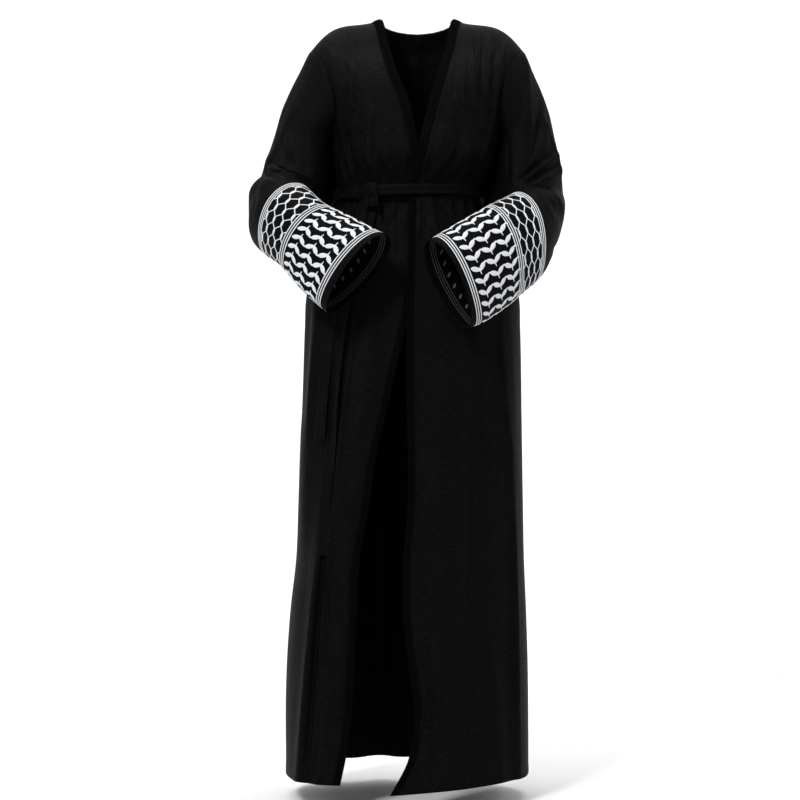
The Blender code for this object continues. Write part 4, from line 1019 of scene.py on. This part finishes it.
bm = bmesh.new()
bmesh.ops.create_grid(bm, x_segments=1, y_segments=SWEEP_STEPS, size=1)
for vert in bm.verts:
    t, y, z = (vert.co.y + 1) / 2, FLOOR_BACK, FLOOR_LEVEL
    if t < TURN_FROM:
        y = FLOOR_FRONT + (FLOOR_BACK - FLOOR_FRONT) * t / TURN_FROM
    elif t < WALL_FROM:
        angle = (t - TURN_FROM) / (WALL_FROM - TURN_FROM) * pi / 2
        y, z = y + TURN_RADIUS * sin(angle), z + TURN_RADIUS * (1 - cos(angle))
    else:
        y, z = y + TURN_RADIUS, z + TURN_RADIUS + (t - WALL_FROM) / (1 - WALL_FROM) * WALL_TALL
    vert.co = (vert.co.x * SWEEP_HALF, y, z)
mesh = bpy.data.meshes.new("sweep")
bm.to_mesh(mesh)
bm.free()
mesh.shade_smooth()
paper = bpy.data.materials.new("paper")
paper.use_nodes = True
shader = paper.node_tree.nodes["Principled BSDF"]
shader.inputs["Base Color"].default_value = PAPER_PALE
shader.inputs["Roughness"].default_value = PAPER_ROUGHNESS
behind = add_node(paper.node_tree, "NewGeometry").outputs["Backfacing"]
front_only = maths(paper.node_tree, "SUBTRACT", 1.0, behind)
paper.node_tree.links.new(front_only, shader.inputs["Alpha"])
mesh.materials.append(paper)
placed("sweep", mesh)

# Each light has its place, the place that it looks at, its width and height, and its watts
LIGHTS = (
    ("key", (-1.8, -3.4, 2.2), (0, 0, -0.5), (1.0, 1.0), 162),
    ("fill", (3.0, -1.8, 0.8), (0, 0, -0.6), (2.0, 2.0), 30),
    ("strip_right", (2.2, 0.45, -0.2), (0.2, -0.05, -0.6), (0.4, 1.9), 5),
    ("strip_left", (-2.2, 0.35, -0.2), (-0.2, -0.05, -0.7), (0.4, 1.9), 4),
    ("backdrop", (0, 0.6, 2.6), (0, 3.0, -1.0), (3.2, 3.2), 120),
)
for name, place, target, size, power in LIGHTS:
    lamp = bpy.data.lights.new(name, "AREA")
    lamp.shape, lamp.energy = "RECTANGLE", power
    lamp.size, lamp.size_y = size
    light = placed(name, lamp)
    light.location = place
    light.rotation_euler = (Vector(target) - Vector(place)).to_track_quat("-Z", "Y").to_euler()

world = bpy.data.worlds.new("studio")
world.use_nodes = True
background = world.node_tree.nodes["Background"]
background.inputs["Color"].default_value = (1, 1, 1, 1)
seen = add_node(world.node_tree, "LightPath").outputs["Is Camera Ray"]
strength = maths(world.node_tree, "MULTIPLY_ADD", seen, WORLD_SEEN, WORLD_LIGHT)
world.node_tree.links.new(strength, background.inputs["Strength"])
bpy.context.scene.world = world

lens = bpy.data.cameras.new("camera")
lens.sensor_width = SENSOR_WIDTH
lens.lens = SENSOR_WIDTH * -CAMERA_PLACE[1] / (PHOTO_WIDTH * PIXEL_SIZE)
camera = placed("camera", lens)
camera.location = CAMERA_PLACE
camera.rotation_euler = (pi / 2, 0, 0)
bpy.context.scene.camera = camera
bpy.context.scene.view_settings.view_transform = "Standard"
